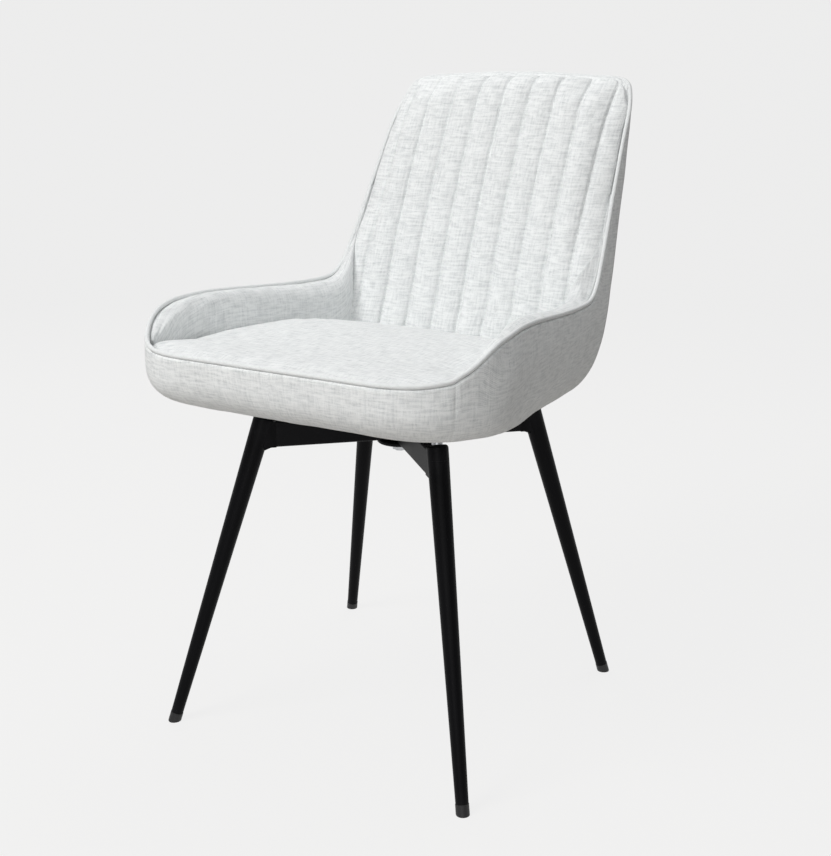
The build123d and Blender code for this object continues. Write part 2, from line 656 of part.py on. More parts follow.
def half_bar(angle):
    return with_screw_holes(Rot(0, 0, angle) * bar(BAR_W / 2 + WELD, BAR_END))


# ---------------------------------------------------------------- legs
def leg_axis_point(z):
    """Distance of a leg's axis from the swivel axis at height z, along the diagonal."""
    t = z / LEG_TOP_Z
    return math.sqrt(2) * (FOOT + (LEG_TOP_XY - FOOT) * t)


LEG_LEAN = math.degrees(math.atan2(leg_axis_point(0) - leg_axis_point(LEG_TOP_Z), LEG_TOP_Z))
LEG_LENGTH = LEG_TOP_Z / math.cos(math.radians(LEG_LEAN))


def on_leg(z):
    """Place on a leg's axis at height z, its +Z running up along the leg, leg drawn towards +X."""
    return Pos(leg_axis_point(z), 0, z) * Rot(0, -LEG_LEAN, 0)


def turned(solid, corner):
    x, y = CORNERS[corner]
    return Rot(0, 0, math.degrees(math.atan2(y, x))) * solid


def leg_radius(s):
    """Outer radius of a leg at the distance s up its axis from the floor."""
    return (LEG_D_FOOT + (LEG_D_TOP - LEG_D_FOOT) * s / LEG_LENGTH) / 2


def leg_tube():
    """Tapered tube, open at both ends."""
    low = GLIDE_H - 4
    rise = LEG_LENGTH - low
    r_low, r_top = leg_radius(low), leg_radius(LEG_LENGTH)
    tube = Cone(r_low, r_top, rise) - Cone(r_low - LEG_WALL, r_top - LEG_WALL, rise)
    return on_leg(0) * Pos(0, 0, low + rise / 2) * tube


def glide():
    """Plastic foot: a rounded cap with a plug inside the tube, cut level where it stands."""
    r = leg_radius(GLIDE_H - 4)
    shoe = Pos(0, 0, -4) * Cylinder(r + 0.4, GLIDE_H - WELD, align=(Align.CENTER, Align.CENTER, Align.MIN))
    shoe = fillet(shoe.edges().group_by(Axis.Z)[0], 3.0)
    plug = Pos(0, 0, GLIDE_H - 4 - 1) * Cylinder(
        r - LEG_WALL - SLIP, GLIDE_PLUG + 1, align=(Align.CENTER, Align.CENTER, Align.MIN))
    foot = on_leg(0) * (shoe + plug)
    return foot - Pos(leg_axis_point(0), 0, -50) * Box(100, 100, 100)


def leg_insert():
    """Threaded plug welded into the top of a leg."""
    r = leg_radius(LEG_LENGTH - INSERT_LENGTH) - LEG_WALL - SLIP
    plug = Cylinder(r, INSERT_LENGTH) - Cylinder(LEG_BOLT_D / 2 + SLIP, 2 * INSERT_LENGTH)
    return on_leg(LEG_TOP_Z) * Pos(0, 0, -INSERT_LENGTH / 2) * plug


def leg_socket():
    """Welded end piece of a bar: a sleeve over the leg, a curved web, and a tongue in the bar."""
    sleeve_h = (SOCKET_TOP_Z - LEG_TOP_Z) / math.cos(math.radians(LEG_LEAN))
    r = LEG_D_TOP / 2
    sleeve = Pos(0, 0, WELD) * Cylinder(r, sleeve_h, align=(Align.CENTER, Align.CENTER, Align.MIN))
    sleeve = fillet(sleeve.edges().group_by(Axis.Z)[-1], 4.0)
    sleeve = on_leg(LEG_TOP_Z) * sleeve
    low_reach = leg_axis_point(BAR_BOTTOM)
    web = Plane.XZ * make_face(Polyline(
        (BAR_END + WELD, BAR_BOTTOM), (low_reach, BAR_BOTTOM),
        (leg_axis_point(FRAME_TOP), FRAME_TOP), (BAR_END + WELD, FRAME_TOP), close=True))
    web = extrude(web, SOCKET_WEB_W / 2, both=True)
    drop = Plane.XZ * make_face(Polyline(
        (low_reach - r - SOCKET_FILLET - 2, BAR_BOTTOM), (low_reach, BAR_BOTTOM),
        (low_reach + 2, BAR_BOTTOM - SOCKET_FILLET - 2), close=True))
    web += extrude(drop, SOCKET_WEB_W / 2 - 4, both=True)
    leg_space = on_leg(LEG_TOP_Z) * Pos(0, 0, WELD) * Cylinder(
        r + WELD, LEG_LENGTH, align=(Align.CENTER, Align.CENTER, Align.MAX))
    tongue_w = BAR_W - 2 * BAR_WALL - 2 * SLIP
    tongue_h = BAR_H - 2 * BAR_WALL - 2 * SLIP
    tongue = Box(TONGUE + 2, tongue_w, tongue_h)
    tongue = fillet(tongue.edges().filter_by(Axis.X), BAR_EDGE - BAR_WALL)
    tongue = Pos(BAR_END + WELD - TONGUE / 2 + 1, 0, BAR_Z) * tongue
    bolt_way = on_leg(LEG_TOP_Z) * Cylinder(LEG_BOLT_D / 2 + SLIP, 4 * sleeve_h)
    return web - leg_space + sleeve + tongue - bolt_way


def leg_bolt():
    """Bolt down through the socket into the leg's insert."""
    sleeve_h = (SOCKET_TOP_Z - LEG_TOP_Z) / math.cos(math.radians(LEG_LEAN))
    head = Pos(0, 0, sleeve_h + WELD) * Cylinder(
        LEG_BOLT_HEAD_D / 2, LEG_BOLT_HEAD_T, align=(Align.CENTER, Align.CENTER, Align.MIN))
    shank = Pos(0, 0, 4 - INSERT_LENGTH) * Cylinder(
        LEG_BOLT_D / 2, sleeve_h + INSERT_LENGTH - 3, align=(Align.CENTER, Align.CENTER, Align.MIN))
    return on_leg(LEG_TOP_Z) * (head + shank)


# ---------------------------------------------------------------- writing
def write(node, shape):
    """Move a piece, or a group of like pieces, behind the swivel axis and write it."""
    solids = shape if isinstance(shape, list) else shape.solids()
    moved = [Pos(0, SWIVEL_Y, 0) * solid for solid in solids]
    whole = moved[0] if len(moved) == 1 else Compound(moved)
    export_step(whole, f"parts/{node}.step")


def main():
    tube, foot, socket = leg_tube(), glide(), leg_socket()
    for corner in CORNERS:
        write(f"leg_{corner}", turned(tube, corner))
        write(f"glide_{corner}", turned(foot, corner))
        write(f"leg_socket_{corner}", turned(socket, corner))
    insert, bolt = leg_insert(), leg_bolt()
    write("leg_inserts", [turned(insert, corner) for corner in CORNERS])
    write("leg_bolts", [turned(bolt, corner) for corner in CORNERS])
    write("cross_bar", through_bar())
    write("half_bar_front", half_bar(-45))
    write("half_bar_rear", half_bar(135))
    write("hub_disc", hub_disc())
    write("swivel_lower_plate", swivel_lower_plate())
    write("plate_screws", plate_screws())
    write("bearing_balls", bearing_balls())
    write("ball_cage", ball_cage())
    write("pivot_bolt", pivot_bolt())
    write("pivot_nut", pivot_nut())
    write("swivel_upper_plate", swivel_upper_plate())
    write("seat_bolts", seat_bolts())
    write("seat_spacers", seat_spacers())
    write("t_nuts", t_nuts())
    write("seat_board", seat_board())
    write("dust_cover", dust_cover())
    write("outer_shell", outer_shell())
    cavity = bucket_form(SHELL_T + CLEAR)
    write("back_board", back_board(0) & cavity)
    pad_space = back_pad_form(CLEAR)
    write("seat_cushion", seat_cushion(cavity, pad_space))
    write("back_pad", back_pad())
    right_pad = arm_pad(cavity, pad_space)
    write("arm_pad_right", right_pad)
    write("arm_pad_left", mirror(right_pad, about=Plane.YZ))
    write("welt", welt())


main()
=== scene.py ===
import math

import bmesh
import bpy
import numpy as np
from mathutils import Euler, Matrix, Vector
from mathutils.bvhtree import BVHTree


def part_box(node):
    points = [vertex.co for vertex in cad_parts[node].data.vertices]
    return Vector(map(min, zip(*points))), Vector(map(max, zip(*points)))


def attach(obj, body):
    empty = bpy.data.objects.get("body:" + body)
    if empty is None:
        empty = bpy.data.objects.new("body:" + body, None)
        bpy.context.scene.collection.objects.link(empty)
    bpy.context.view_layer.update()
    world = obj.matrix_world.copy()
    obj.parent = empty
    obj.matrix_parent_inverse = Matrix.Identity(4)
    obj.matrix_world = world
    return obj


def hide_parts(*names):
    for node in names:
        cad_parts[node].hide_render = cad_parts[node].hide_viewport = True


# Swivel dining chair: upholstered bucket with a channelled back pad, on a black steel frame.
# Metres. +Z is up and the chair faces -Y.

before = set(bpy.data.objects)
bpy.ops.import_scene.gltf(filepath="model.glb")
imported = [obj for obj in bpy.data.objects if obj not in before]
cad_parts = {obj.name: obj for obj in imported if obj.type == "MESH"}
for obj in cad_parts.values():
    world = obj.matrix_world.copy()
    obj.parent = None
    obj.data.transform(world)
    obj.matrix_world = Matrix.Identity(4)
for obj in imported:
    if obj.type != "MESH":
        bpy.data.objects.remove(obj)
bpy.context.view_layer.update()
scene = bpy.context.scene

# --- camera, at the photograph's angle ---
CAMERA_AT = (0.7867, -1.3492, 0.8000)
CAMERA_TURN = 29.96          # degrees about +Z
CAMERA_DOWN = 15.47
CAMERA_ROLL = 0.54
CAMERA_LENS = 52.76          # mm on a sensor of 36 mm

# --- colours, linear ---
LINEN = (0.93, 0.945, 0.942)
LINEN_SHADE = (0.49, 0.515, 0.524)
WELT_LIGHT = (0.86, 0.875, 0.872)
WELT_SHADE = (0.72, 0.74, 0.745)
STEEL = (0.0035, 0.0035, 0.0042)
PLATE_STEEL = (0.012, 0.012, 0.013)
BLACK_PLASTIC = (0.006, 0.006, 0.007)
CAGE_PLASTIC = (0.55, 0.53, 0.48)
ZINC = (0.62, 0.63, 0.65)
BALL_STEEL = (0.68, 0.68, 0.69)
BIRCH_DARK, BIRCH_LIGHT = (0.36, 0.22, 0.12), (0.66, 0.49, 0.31)
CLOTH_DARK, CLOTH_LIGHT = (0.008, 0.008, 0.009), (0.030, 0.030, 0.032)
THREAD_DARK, THREAD_LIGHT = (0.62, 0.63, 0.63), (0.84, 0.85, 0.84)
SKY = (0.98, 0.99, 1.0)
SKY_STRENGTH = 0.285
BACKGROUND = 0.855           # what the camera sees past the backdrop
FLOOR_GLOW = 0.955           # what it sees of the backdrop
FLOOR = (0.50, 0.48, 0.455)

# --- lights: place, size, power, colour; all aim at the seat ---
LIGHTS = {
    "key": ((-0.98, -2.04, 2.54), 1.5, 52.0, (1.0, 0.997, 0.99)),
    "fill": ((0.85, -2.25, 0.75), 1.5, 11.0, (1.0, 1.0, 1.0)),
    "top": ((0.0, 0.85, 2.4), 1.2, 12.5, (1.0, 1.0, 1.0)),
    "rim": ((-1.9, 1.2, 1.7), 1.2, 7.0, (0.97, 0.98, 1.0)),
}
LIT_POINT = Vector((0, 0, 0.5))

# --- fabric ---
THREAD = 0.0015              # spacing of the threads
PUCKER = 0.016               # spacing of the small folds beside the welt

# --- shell of the bucket ---
WALL = 0.0065                # thickness of the covered shell
# how far the closely spaced rows lie from the edge
EDGE_ROWS = np.array((12.0, 10.0, 8.2, 6.8, 5.6, 4.6, 3.8, 3.1, 2.5, 1.9, 1.3, 0.7, 0.0)) / 1000
EDGE_BAND = 0.014            # the even rows end this far from the edge
GROOVE = 0.0024              # how far the cover is drawn in under the welt
GROOVE_WIDTH = 0.0016
# how much higher than the CAD shell the edge stands, by Y
EDGE_RISE = ((-0.285, -0.270, -0.262, -0.250, -0.240, -0.230, -0.220, -0.210, -0.200,
              -0.190, -0.180, -0.170, -0.160, -0.150, -0.132, -0.107, -0.075, -0.037,
              0.0, 0.04, 0.06, 0.09, 0.127, 0.14, 0.151),
             (0.0010, 0.0045, 0.0063, 0.0115, 0.0156, 0.0165, 0.0131, 0.0082, 0.0040,
              0.0016, 0.0010, 0.0020, 0.0032, 0.0042, 0.0052, 0.0052, 0.0047, 0.0038,
              0.0028, 0.0024, 0.0028, 0.0042, 0.0050, 0.0035, 0.0))
RISE_DEPTH = 0.045           # the rise fades out over this depth
RAY_START = 0.6              # rays at the shell start this far outside
RAY_STOP = 0.02              # and end this far before the spine
SPINE_Y = -0.02              # the shell's columns are drawn round this line
ROLL_TOP = 0.470             # below this height the shell rolls under
SPOT = 0.0042                # width of one column
SEAM_X = 0.207               # the seam near each front corner
SEAM_HALF = 0.0016
HAIR = 0.0002                # just inside of the edge
RIM = 0.0022                 # height of the rounded cut edge
RIM_STEPS = 7

# --- pads ---
CROWN_FRONT_Y = -0.200       # between these the cushion takes its crown from the CAD piece
CROWN_REAR_Y = 0.100
CROWN_FALL = 0.031           # how much lower the soft cover lies in front of the back pad
CREASE_DROP = 0.0105         # how far under the crown the arm pads meet the cushion
ARM_FOOT_Z = 0.448
ARM_FRONT_Y = -0.262         # the arm pads start here
ARM_THICK = ((-0.260, -0.250, -0.235, -0.215, -0.190, -0.145, 0.060, 0.150),
             (0.003, 0.011, 0.020, 0.027, 0.032, 0.037, 0.040, 0.045))
ARM_CREST = 0.45             # where the pad is highest, as a share of its thickness
ARM_BULGE = 0.08             # how far it rises over the edge there, as a share of its thickness
ARM_FULL = 2.8               # 2 is an ellipse, more is squarer
CUSHION_REAR_Y = 0.126
CUSHION_VOXEL = 0.004
PUFF_FRAMES = 20             # length of the cloth simulation that fills out a cover

# --- welt ---
WELT_R = 0.0028
WELT_STEP = 0.0032           # from one ring of the cord to the next
WELT_AROUND = 14

# --- back pad ---
CHANNEL = 0.0384
SEAMS = 9
SEAM_DEPTH = 0.0034
SEAM_WIDTH = 0.0018
TROUGH_DEPTH = 0.0014        # the wider hollow round each seam
TROUGH_WIDTH = 0.007
BACK_VOXEL = 0.003
BACK_MIDDLE = (0.0, 0.690)   # X and Z round which the pad is spread
RIM_GAP = 0.0035             # left between the spread pad and the edge
RIM_BINS = 180               # directions in which the pad and the edge are measured
STITCH = 0.0044              # from one stitch to the next
STITCH_LENGTH = 0.0031
STITCH_R = 0.00033

# --- cover under the seat ---
SHEET_THICK = 0.0006
SHEET_POWER = 7.0            # its outline is a rounded rectangle of this power
PIVOT_HOLE = 0.0145          # radius of the hole round the pivot's nut
PIVOT_Y = -0.024             # where the seat turns
STAPLE_GAP = 0.034


# ---------------------------------------------------------------- small helpers
def waves(a, b, length, seed):
    """Even, gentle unevenness over two coordinates, from -1 to 1, with about this wavelength."""
    rng = np.random.default_rng(seed)
    total = np.zeros_like(a)
    for _ in range(7):
        turn, phase = rng.uniform(0, 2 * math.pi, 2)
        k = 2 * math.pi / (length * rng.uniform(0.7, 1.5))
        total += np.sin(k * (a * math.cos(turn) + b * math.sin(turn)) + phase)
    return total / 4


def smooth_step(value, low, high):
    """0 up to low, 1 from high on, smooth between."""
    t = np.clip((value - low) / (high - low), 0, 1)
    return t * t * (3 - 2 * t)


def hump(away, width):
    """1 in the middle of a seam, falling to 0 beside it."""
    return np.exp(-(away / width) ** 2)


def even_out(values, times):
    """Smooths values that run round a closed loop."""
    for _ in range(times):
        values = 0.5 * values + 0.25 * (np.roll(values, 1, 0) + np.roll(values, -1, 0))
    return values


def unit(vectors):
    return vectors / np.linalg.norm(vectors, axis=1, keepdims=True)


def length_along(points):
    """Distance from the first point of a line to each point."""
    return np.append(0, np.cumsum(np.linalg.norm(np.diff(points, axis=0), axis=1)))


def coords(obj):
    """Places of the vertices as rows of an array."""
    co = np.empty(len(obj.data.vertices) * 3)
    obj.data.vertices.foreach_get("co", co)
    return co.reshape(-1, 3)


def set_coords(obj, co):
    obj.data.vertices.foreach_set("co", co.ravel())
    obj.data.update()


def normals(obj):
    n = np.empty(len(obj.data.vertices) * 3)
    obj.data.vertex_normals.foreach_get("vector", n)
    return n.reshape(-1, 3)


def bake(obj):
    """Makes the object's modifiers part of its mesh."""
    graph = bpy.context.evaluated_depsgraph_get()
    mesh = bpy.data.meshes.new_from_object(obj.evaluated_get(graph))
    obj.modifiers.clear()
    obj.data = mesh


def subdivide(obj):
    mod = obj.modifiers.new("fine", "SUBSURF")
    mod.levels = mod.render_levels = 1
    bake(obj)


def remesh(obj, voxel):
    """Gives the object an even mesh."""
    even = obj.modifiers.new("even", "REMESH")
    even.mode, even.voxel_size = "VOXEL", voxel
    bake(obj)


def make_piece(name, verts, faces, uvs=None):
    """Mesh object from arrays, smooth shaded. uvs is a map in metres along the cloth."""
    mesh = bpy.data.meshes.new(name)
    mesh.from_pydata(np.asarray(verts).tolist(), [], np.asarray(faces).tolist())
    mesh.shade_smooth()
    if uvs is not None:
        layer = mesh.uv_layers.new(name="cloth")
        layer.uv.foreach_set("vector", np.asarray(uvs, np.float32).ravel())
    return place_object(name, mesh)


def place_object(name, data):
    """New object in the scene."""
    obj = bpy.data.objects.new(name, data)
    scene.collection.objects.link(obj)
    return obj


def finish_piece(obj, material):
    """Gives a piece of the seat its material."""
    obj.data.materials.clear()
    obj.data.materials.append(material)
    obj.data.shade_smooth()
    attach(obj, "seat")


def grid(points, u, v, wrap_v=False):
    """Faces and map of a grid of points that closes on itself round its first direction."""
    count, rows = points.shape[:2]
    steps = rows if wrap_v else rows - 1
    i, j = [a.ravel() for a in np.meshgrid(np.arange(count), np.arange(steps), indexing="ij")]
    i2, j2 = (i + 1) % count, (j + 1) % rows
    faces = np.stack([i * rows + j, i2 * rows + j, i2 * rows + j2, i * rows + j2], 1)
    u2 = np.append(u[1:], u[0])
    u2[-1] = u[-1] + (u[-1] - u[-2])
    v = np.broadcast_to(v, (count, rows))
    v_end = np.append(v[:, 1:], v[:, -1:] + (v[:, -1:] - v[:, -2:-1]), axis=1)
    uv = np.stack([
        np.stack([u[i], v[i, j]], 1), np.stack([u2[i], v[i2, j]], 1),
        np.stack([u2[i], v_end[i2, j]], 1), np.stack([u[i], v_end[i, j]], 1)], 1)
    return faces, uv


def box_map(obj, weights):
    """Map in metres from the side, front or top, whichever a face looks along most."""
    mesh = obj.data
    n = np.empty(len(mesh.polygons) * 3)
    mesh.polygons.foreach_get("normal", n)
    axis = (np.abs(n.reshape(-1, 3)) * weights).argmax(1)
    loops = np.empty(len(mesh.loops), int)
    mesh.loops.foreach_get("vertex_index", loops)
    sizes = np.empty(len(mesh.polygons), int)
    mesh.polygons.foreach_get("loop_total", sizes)
    axis = np.repeat(axis, sizes)
    co = coords(obj)[loops]
    u = np.where(axis == 0, co[:, 1], co[:, 0])
    v = np.where(axis == 2, co[:, 1], co[:, 2])
    layer = mesh.uv_layers.new(name="cloth")
    layer.uv.foreach_set("vector", np.stack([u, v], 1).astype(np.float32).ravel())


def tree_of(node):
    """Search tree of a CAD node, for rays."""
    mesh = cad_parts[node].data
    return BVHTree.FromPolygons([v.co for v in mesh.vertices],
                                [p.vertices[:] for p in mesh.polygons])


# ---------------------------------------------------------------- materials
class Nodes:
    """Node tree of one material, with short calls for its nodes."""

    def __init__(self, name):
        self.material = bpy.data.materials.new(name)
        self.material.use_nodes = True
        self.tree = self.material.node_tree
        self.shader = self.tree.nodes["Principled BSDF"]

    def add(self, kind, values=(), **settings):
        """New node; values go to its inputs and settings to its own properties."""
        node = self.tree.nodes.new("ShaderNode" + kind)
        for key, value in settings.items():
            setattr(node, key, value)
        for key, value in dict(values).items():
            self.set(node.inputs[key], value)
        return node

    def set(self, socket, value):
        """Links a socket to an output, or gives it a constant."""
        if isinstance(value, bpy.types.NodeSocket):
            self.tree.links.new(value, socket)
        else:
            socket.default_value = value

    def math(self, operation, a, b=0.0, c=0.0, clamp=False):
        node = self.add("Math", operation=operation, use_clamp=clamp)
        for socket, value in zip(node.inputs, (a, b, c)):
            self.set(socket, value)
        return node.outputs[0]

    def noise(self, vector, scale, detail=2.0, rough=0.5):
        node = self.add("TexNoise", {"Vector": vector, "Scale": scale, "Detail": detail,
                                     "Roughness": rough})
        return node.outputs[0]

    def stretched(self, vector, scale):
        node = self.add("Mapping", {"Vector": vector, "Scale": scale}, vector_type="POINT")
        return node.outputs[0]

    def mix(self, factor, a, b):
        node = self.add("Mix", data_type="RGBA")
        for socket, value in ((node.inputs[0], factor), (node.inputs[6], a), (node.inputs[7], b)):
            self.set(socket, value)
        return node.outputs[2]

    def bump(self, height, distance, strength):
        node = self.add("Bump", {"Height": height, "Distance": distance, "Strength": strength})
        return node.outputs[0]

    def finish(self, **values):
        """Sets the shader's inputs, with _ for a space, and gives the material."""
        for key, value in values.items():
            self.set(self.shader.inputs[key.replace("_", " ")], value)
        return self.material


def rgba(colour):
    return (*colour, 1.0)


def fabric(name, turn=0.0, shade=LINEN_SHADE, light=LINEN):
    """Plain-woven slubby cloth. turn is the angle of its threads to the map, in degrees."""
    n = Nodes(name)
    place = n.add("UVMap", uv_map="cloth").outputs[0]
    if turn:
        place = n.add("VectorRotate", {"Vector": place, "Angle": math.radians(turn)},
                      rotation_type="Z_AXIS").outputs[0]
    wander = n.noise(place, 55.0, 2.0)
    shift = n.math("MULTIPLY", n.math("SUBTRACT", wander, 0.5), 1.6)
    parts = n.add("SeparateXYZ", {0: place}).outputs
    across = n.math("MULTIPLY_ADD", parts[0], math.pi / THREAD, shift)
    along = n.math("MULTIPLY_ADD", parts[1], math.pi / THREAD, shift)
    sin_a, sin_b = n.math("SINE", across), n.math("SINE", along)
    over = n.math("MULTIPLY_ADD", n.math("MULTIPLY", sin_a, sin_b), 0.5, 0.5)
    warp = n.math("MULTIPLY", n.math("ABSOLUTE", sin_a), over)
    weft = n.math("MULTIPLY", n.math("ABSOLUTE", sin_b), n.math("SUBTRACT", 1.0, over))
    weave = n.math("ADD", warp, weft)
    # thick places in single threads, long across the cloth and shorter up it
    level_slub = n.noise(n.stretched(place, (50.0, 380.0, 1.0)), 1.0, 3.0, 0.6)
    upright_slub = n.noise(n.stretched(place, (380.0, 60.0, 1.0)), 1.0, 3.0, 0.6)
    slub = n.math("MULTIPLY_ADD", level_slub, 0.6, n.math("MULTIPLY", upright_slub, 0.4))
    patch = n.noise(place, 22.0, 3.0, 0.6)
    speck = n.noise(place, 900.0, 1.0)
    tone = n.math("ADD", n.math("MULTIPLY", n.math("SUBTRACT", slub, 0.5), 2.6),
                  n.math("MULTIPLY", n.math("SUBTRACT", patch, 0.5), 0.18))
    tone = n.math("ADD", tone, n.math("MULTIPLY", n.math("SUBTRACT", weave, 0.45), 0.35))
    tone = n.math("MULTIPLY_ADD", n.math("SUBTRACT", speck, 0.5), 0.5, tone)
    tone = n.math("ADD", tone, 0.72, clamp=True)
    colour = n.mix(tone, rgba(shade), rgba(light))
    height = n.math("MULTIPLY_ADD", slub, 1.3, weave)
    normal = n.bump(height, 0.00035, 0.75)
    rough = n.math("MULTIPLY_ADD", weave, -0.12, 0.93)
    return n.finish(Base_Color=colour, Roughness=rough, Normal=normal, Sheen_Weight=0.18,
                    Sheen_Roughness=0.45, Specular_IOR_Level=0.25)


def coated_steel(name, colour, rough):
    """Satin powder coat with a fine orange peel, and a painted highlight that lightens its sharp
    edges.
    """
    n = Nodes(name)
    place = n.add("TexCoord").outputs["Object"]
    peel = n.noise(place, 900.0, 2.0)
    cloud = n.noise(place, 14.0, 3.0)
    gloss = n.math("MULTIPLY_ADD", n.math("SUBTRACT", cloud, 0.5), 0.14, rough)
    # painted highlight: sharp edges are mixed towards a lighter colour, standing in for the light
    # they catch
    highlight_pointiness = n.add("NewGeometry").outputs["Pointiness"]
    edge = n.math("MULTIPLY", n.math("SUBTRACT", highlight_pointiness, 0.53), 6.0, clamp=True)
    lighter = tuple(min(1.0, 2.2 * c + 0.004) for c in colour)
    base = n.mix(edge, rgba(colour), rgba(lighter))
    return n.finish(Base_Color=base, Roughness=gloss, Normal=n.bump(peel, 0.00006, 0.6),
                    Specular_IOR_Level=0.07)


def plastic(name, colour, rough):
    """Moulded plastic with a fine grain."""
    n = Nodes(name)
    place = n.add("TexCoord").outputs["Object"]
    pits = n.noise(place, 1400.0, 2.0)
    shade = n.noise(place, 30.0, 2.0)
    dark = tuple(0.75 * c for c in colour)
    base = n.mix(shade, rgba(dark), rgba(colour))
    gloss = n.math("MULTIPLY_ADD", shade, 0.12, rough - 0.06)
    return n.finish(Base_Color=base, Roughness=gloss, Normal=n.bump(pits, 0.00005, 0.7))


def bare_metal(name, colour, rough, streaks):
    """Plated or bright metal with fine marks along its length."""
    n = Nodes(name)
    place = n.add("TexCoord").outputs["Object"]
    marks = n.noise(n.stretched(place, streaks), 1.0, 3.0)
    spangle = n.noise(place, 160.0, 3.0)
    dull = tuple(0.8 * c for c in colour)
    base = n.mix(spangle, rgba(dull), rgba(colour))
    gloss = n.math("MULTIPLY_ADD", marks, 0.2, rough - 0.1)
    return n.finish(Base_Color=base, Roughness=gloss, Metallic=1.0,
                    Normal=n.bump(marks, 0.00003, 0.5))


def plywood(name):
    """Birch layers seen on the edges, grain along the face."""
    n = Nodes(name)
    place = n.add("TexCoord").outputs["Object"]
    parts = n.add("SeparateXYZ", {0: place}).outputs
    layer = n.math("SINE", n.math("MULTIPLY", parts[2], 2 * math.pi / 0.0048))
    layer = n.math("MULTIPLY_ADD", layer, 0.35, 0.5, clamp=True)
    grain = n.noise(n.stretched(place, (18.0, 420.0, 420.0)), 1.0, 4.0, 0.65)
    mixed = n.math("MULTIPLY_ADD", grain, 0.7, n.math("MULTIPLY", layer, 0.3))
    base = n.mix(mixed, rgba(BIRCH_DARK), rgba(BIRCH_LIGHT))
    return n.finish(Base_Color=base, Roughness=0.62, Normal=n.bump(grain, 0.0001, 0.5))


def felted_cloth(name):
    """Thin spun-bonded cloth of the cover under the seat, dotted by its bonding rolls."""
    n = Nodes(name)
    place = n.add("UVMap", uv_map="cloth").outputs[0]
    cells = n.add("TexVoronoi", {"Vector": place, "Scale": 620.0, "Randomness": 0.25})
    fibre = n.noise(place, 480.0, 4.0, 0.7)
    base = n.mix(fibre, rgba(CLOTH_DARK), rgba(CLOTH_LIGHT))
    return n.finish(Base_Color=base, Roughness=0.85, Sheen_Weight=0.1,
                    Normal=n.bump(cells.outputs["Distance"], 0.00015, 0.8))


# ---------------------------------------------------------------- shell of the bucket
def shell_ray(tree, side, target):
    """Place and normal where a ray from outside, aimed at a target, first meets the shell."""
    start = Vector(target) + Vector(side) * RAY_START
    return tree.ray_cast(start, -Vector(side), RAY_START - RAY_STOP)[:2]


def shell_hit(tree, side, target):
    return shell_ray(tree, side, target)[0]


def outward(angle):
    """Level direction of a column; 0 is the front and a quarter turn is +X."""
    return math.sin(angle), -math.cos(angle), 0.0


def column_angles(tree):
    """Angles of the shell's columns, even along its outline, closer at the two front seams."""
    rough = np.linspace(0, 2 * math.pi, 1441)
    line = np.array([shell_hit(tree, outward(a), (0, SPINE_Y, 0.485)) for a in rough])
    length = length_along(line)
    spots = np.arange(round(length[-1] / SPOT)) * length[-1] / round(length[-1] / SPOT)
    front = np.flatnonzero(line[:, 1] < SPINE_Y)
    seams = []
    for x in (SEAM_X, -SEAM_X):
        seams.append(length[front[np.abs(line[front, 0] - x).argmin()]])
        spots = spots[np.abs(spots - seams[-1]) > 1.6 * SPOT]
        near = np.array([-3.2, -2.0, -1.2, -0.6, 0.0, 0.6, 1.2, 2.0, 3.2]) * SEAM_HALF
        spots = np.append(spots, seams[-1] + near)
    spots = np.sort(spots)
    return np.interp(spots, length, rough), spots, seams


def edge_height(tree, side):
    """Height up to which the shell shows its outer face in one direction, by halving."""
    low, high = ROLL_TOP, 0.83
    for _ in range(14):
        middle = (low + high) / 2
        hit, normal = shell_ray(tree, side, (0, SPINE_Y, middle))
        if hit is None or normal.z > 0.5:      # past the edge, or on the cut top
            high = middle
        else:
            low = middle
    return low


def shell_column(tree, angle, floor_z, top, steps_low=64, steps_high=48):
    """Points of the shell from the middle of its underside up to its edge, in one direction."""
    side = outward(angle)
    points = []
    for k in range(steps_low):
        down = math.pi / 2 * (1 - k / steps_low)
        out = Vector((side[0] * math.cos(down), side[1] * math.cos(down), -math.sin(down)))
        hit = shell_hit(tree, out, (0, SPINE_Y, ROLL_TOP))
        if hit is None:
            hit = Vector((0, SPINE_Y, ROLL_TOP)) + out * (ROLL_TOP - floor_z) / math.sin(down)
        points.append(hit)
    for k in range(steps_high + 1):
        z = ROLL_TOP + (top - ROLL_TOP) * k / steps_high
        points.append(shell_hit(tree, side, (0, SPINE_Y, min(z, top - HAIR))))
    return np.array(points), steps_low


def even_rows(points, split, level, rows_low, rows_high):
    """The column's points again, even below and above the split and closer at the edge."""
    length = length_along(points)
    marks = np.concatenate([np.linspace(0, length[split], rows_low, endpoint=False),
                            np.linspace(length[split], length[-1] - EDGE_BAND / level, rows_high),
                            length[-1] - EDGE_ROWS / level])
    even = np.stack([np.interp(marks, length, points[:, k]) for k in range(3)], 1)
    return even, marks - length[split]


def grid_normals(points):
    """Normals of a grid that closes on itself round its first direction."""
    round_ = np.roll(points, -1, 0) - np.roll(points, 1, 0)
    up = np.gradient(points, axis=1)
    n = np.cross(round_, up)
    n /= np.linalg.norm(n, axis=2, keepdims=True) + 1e-12
    return n


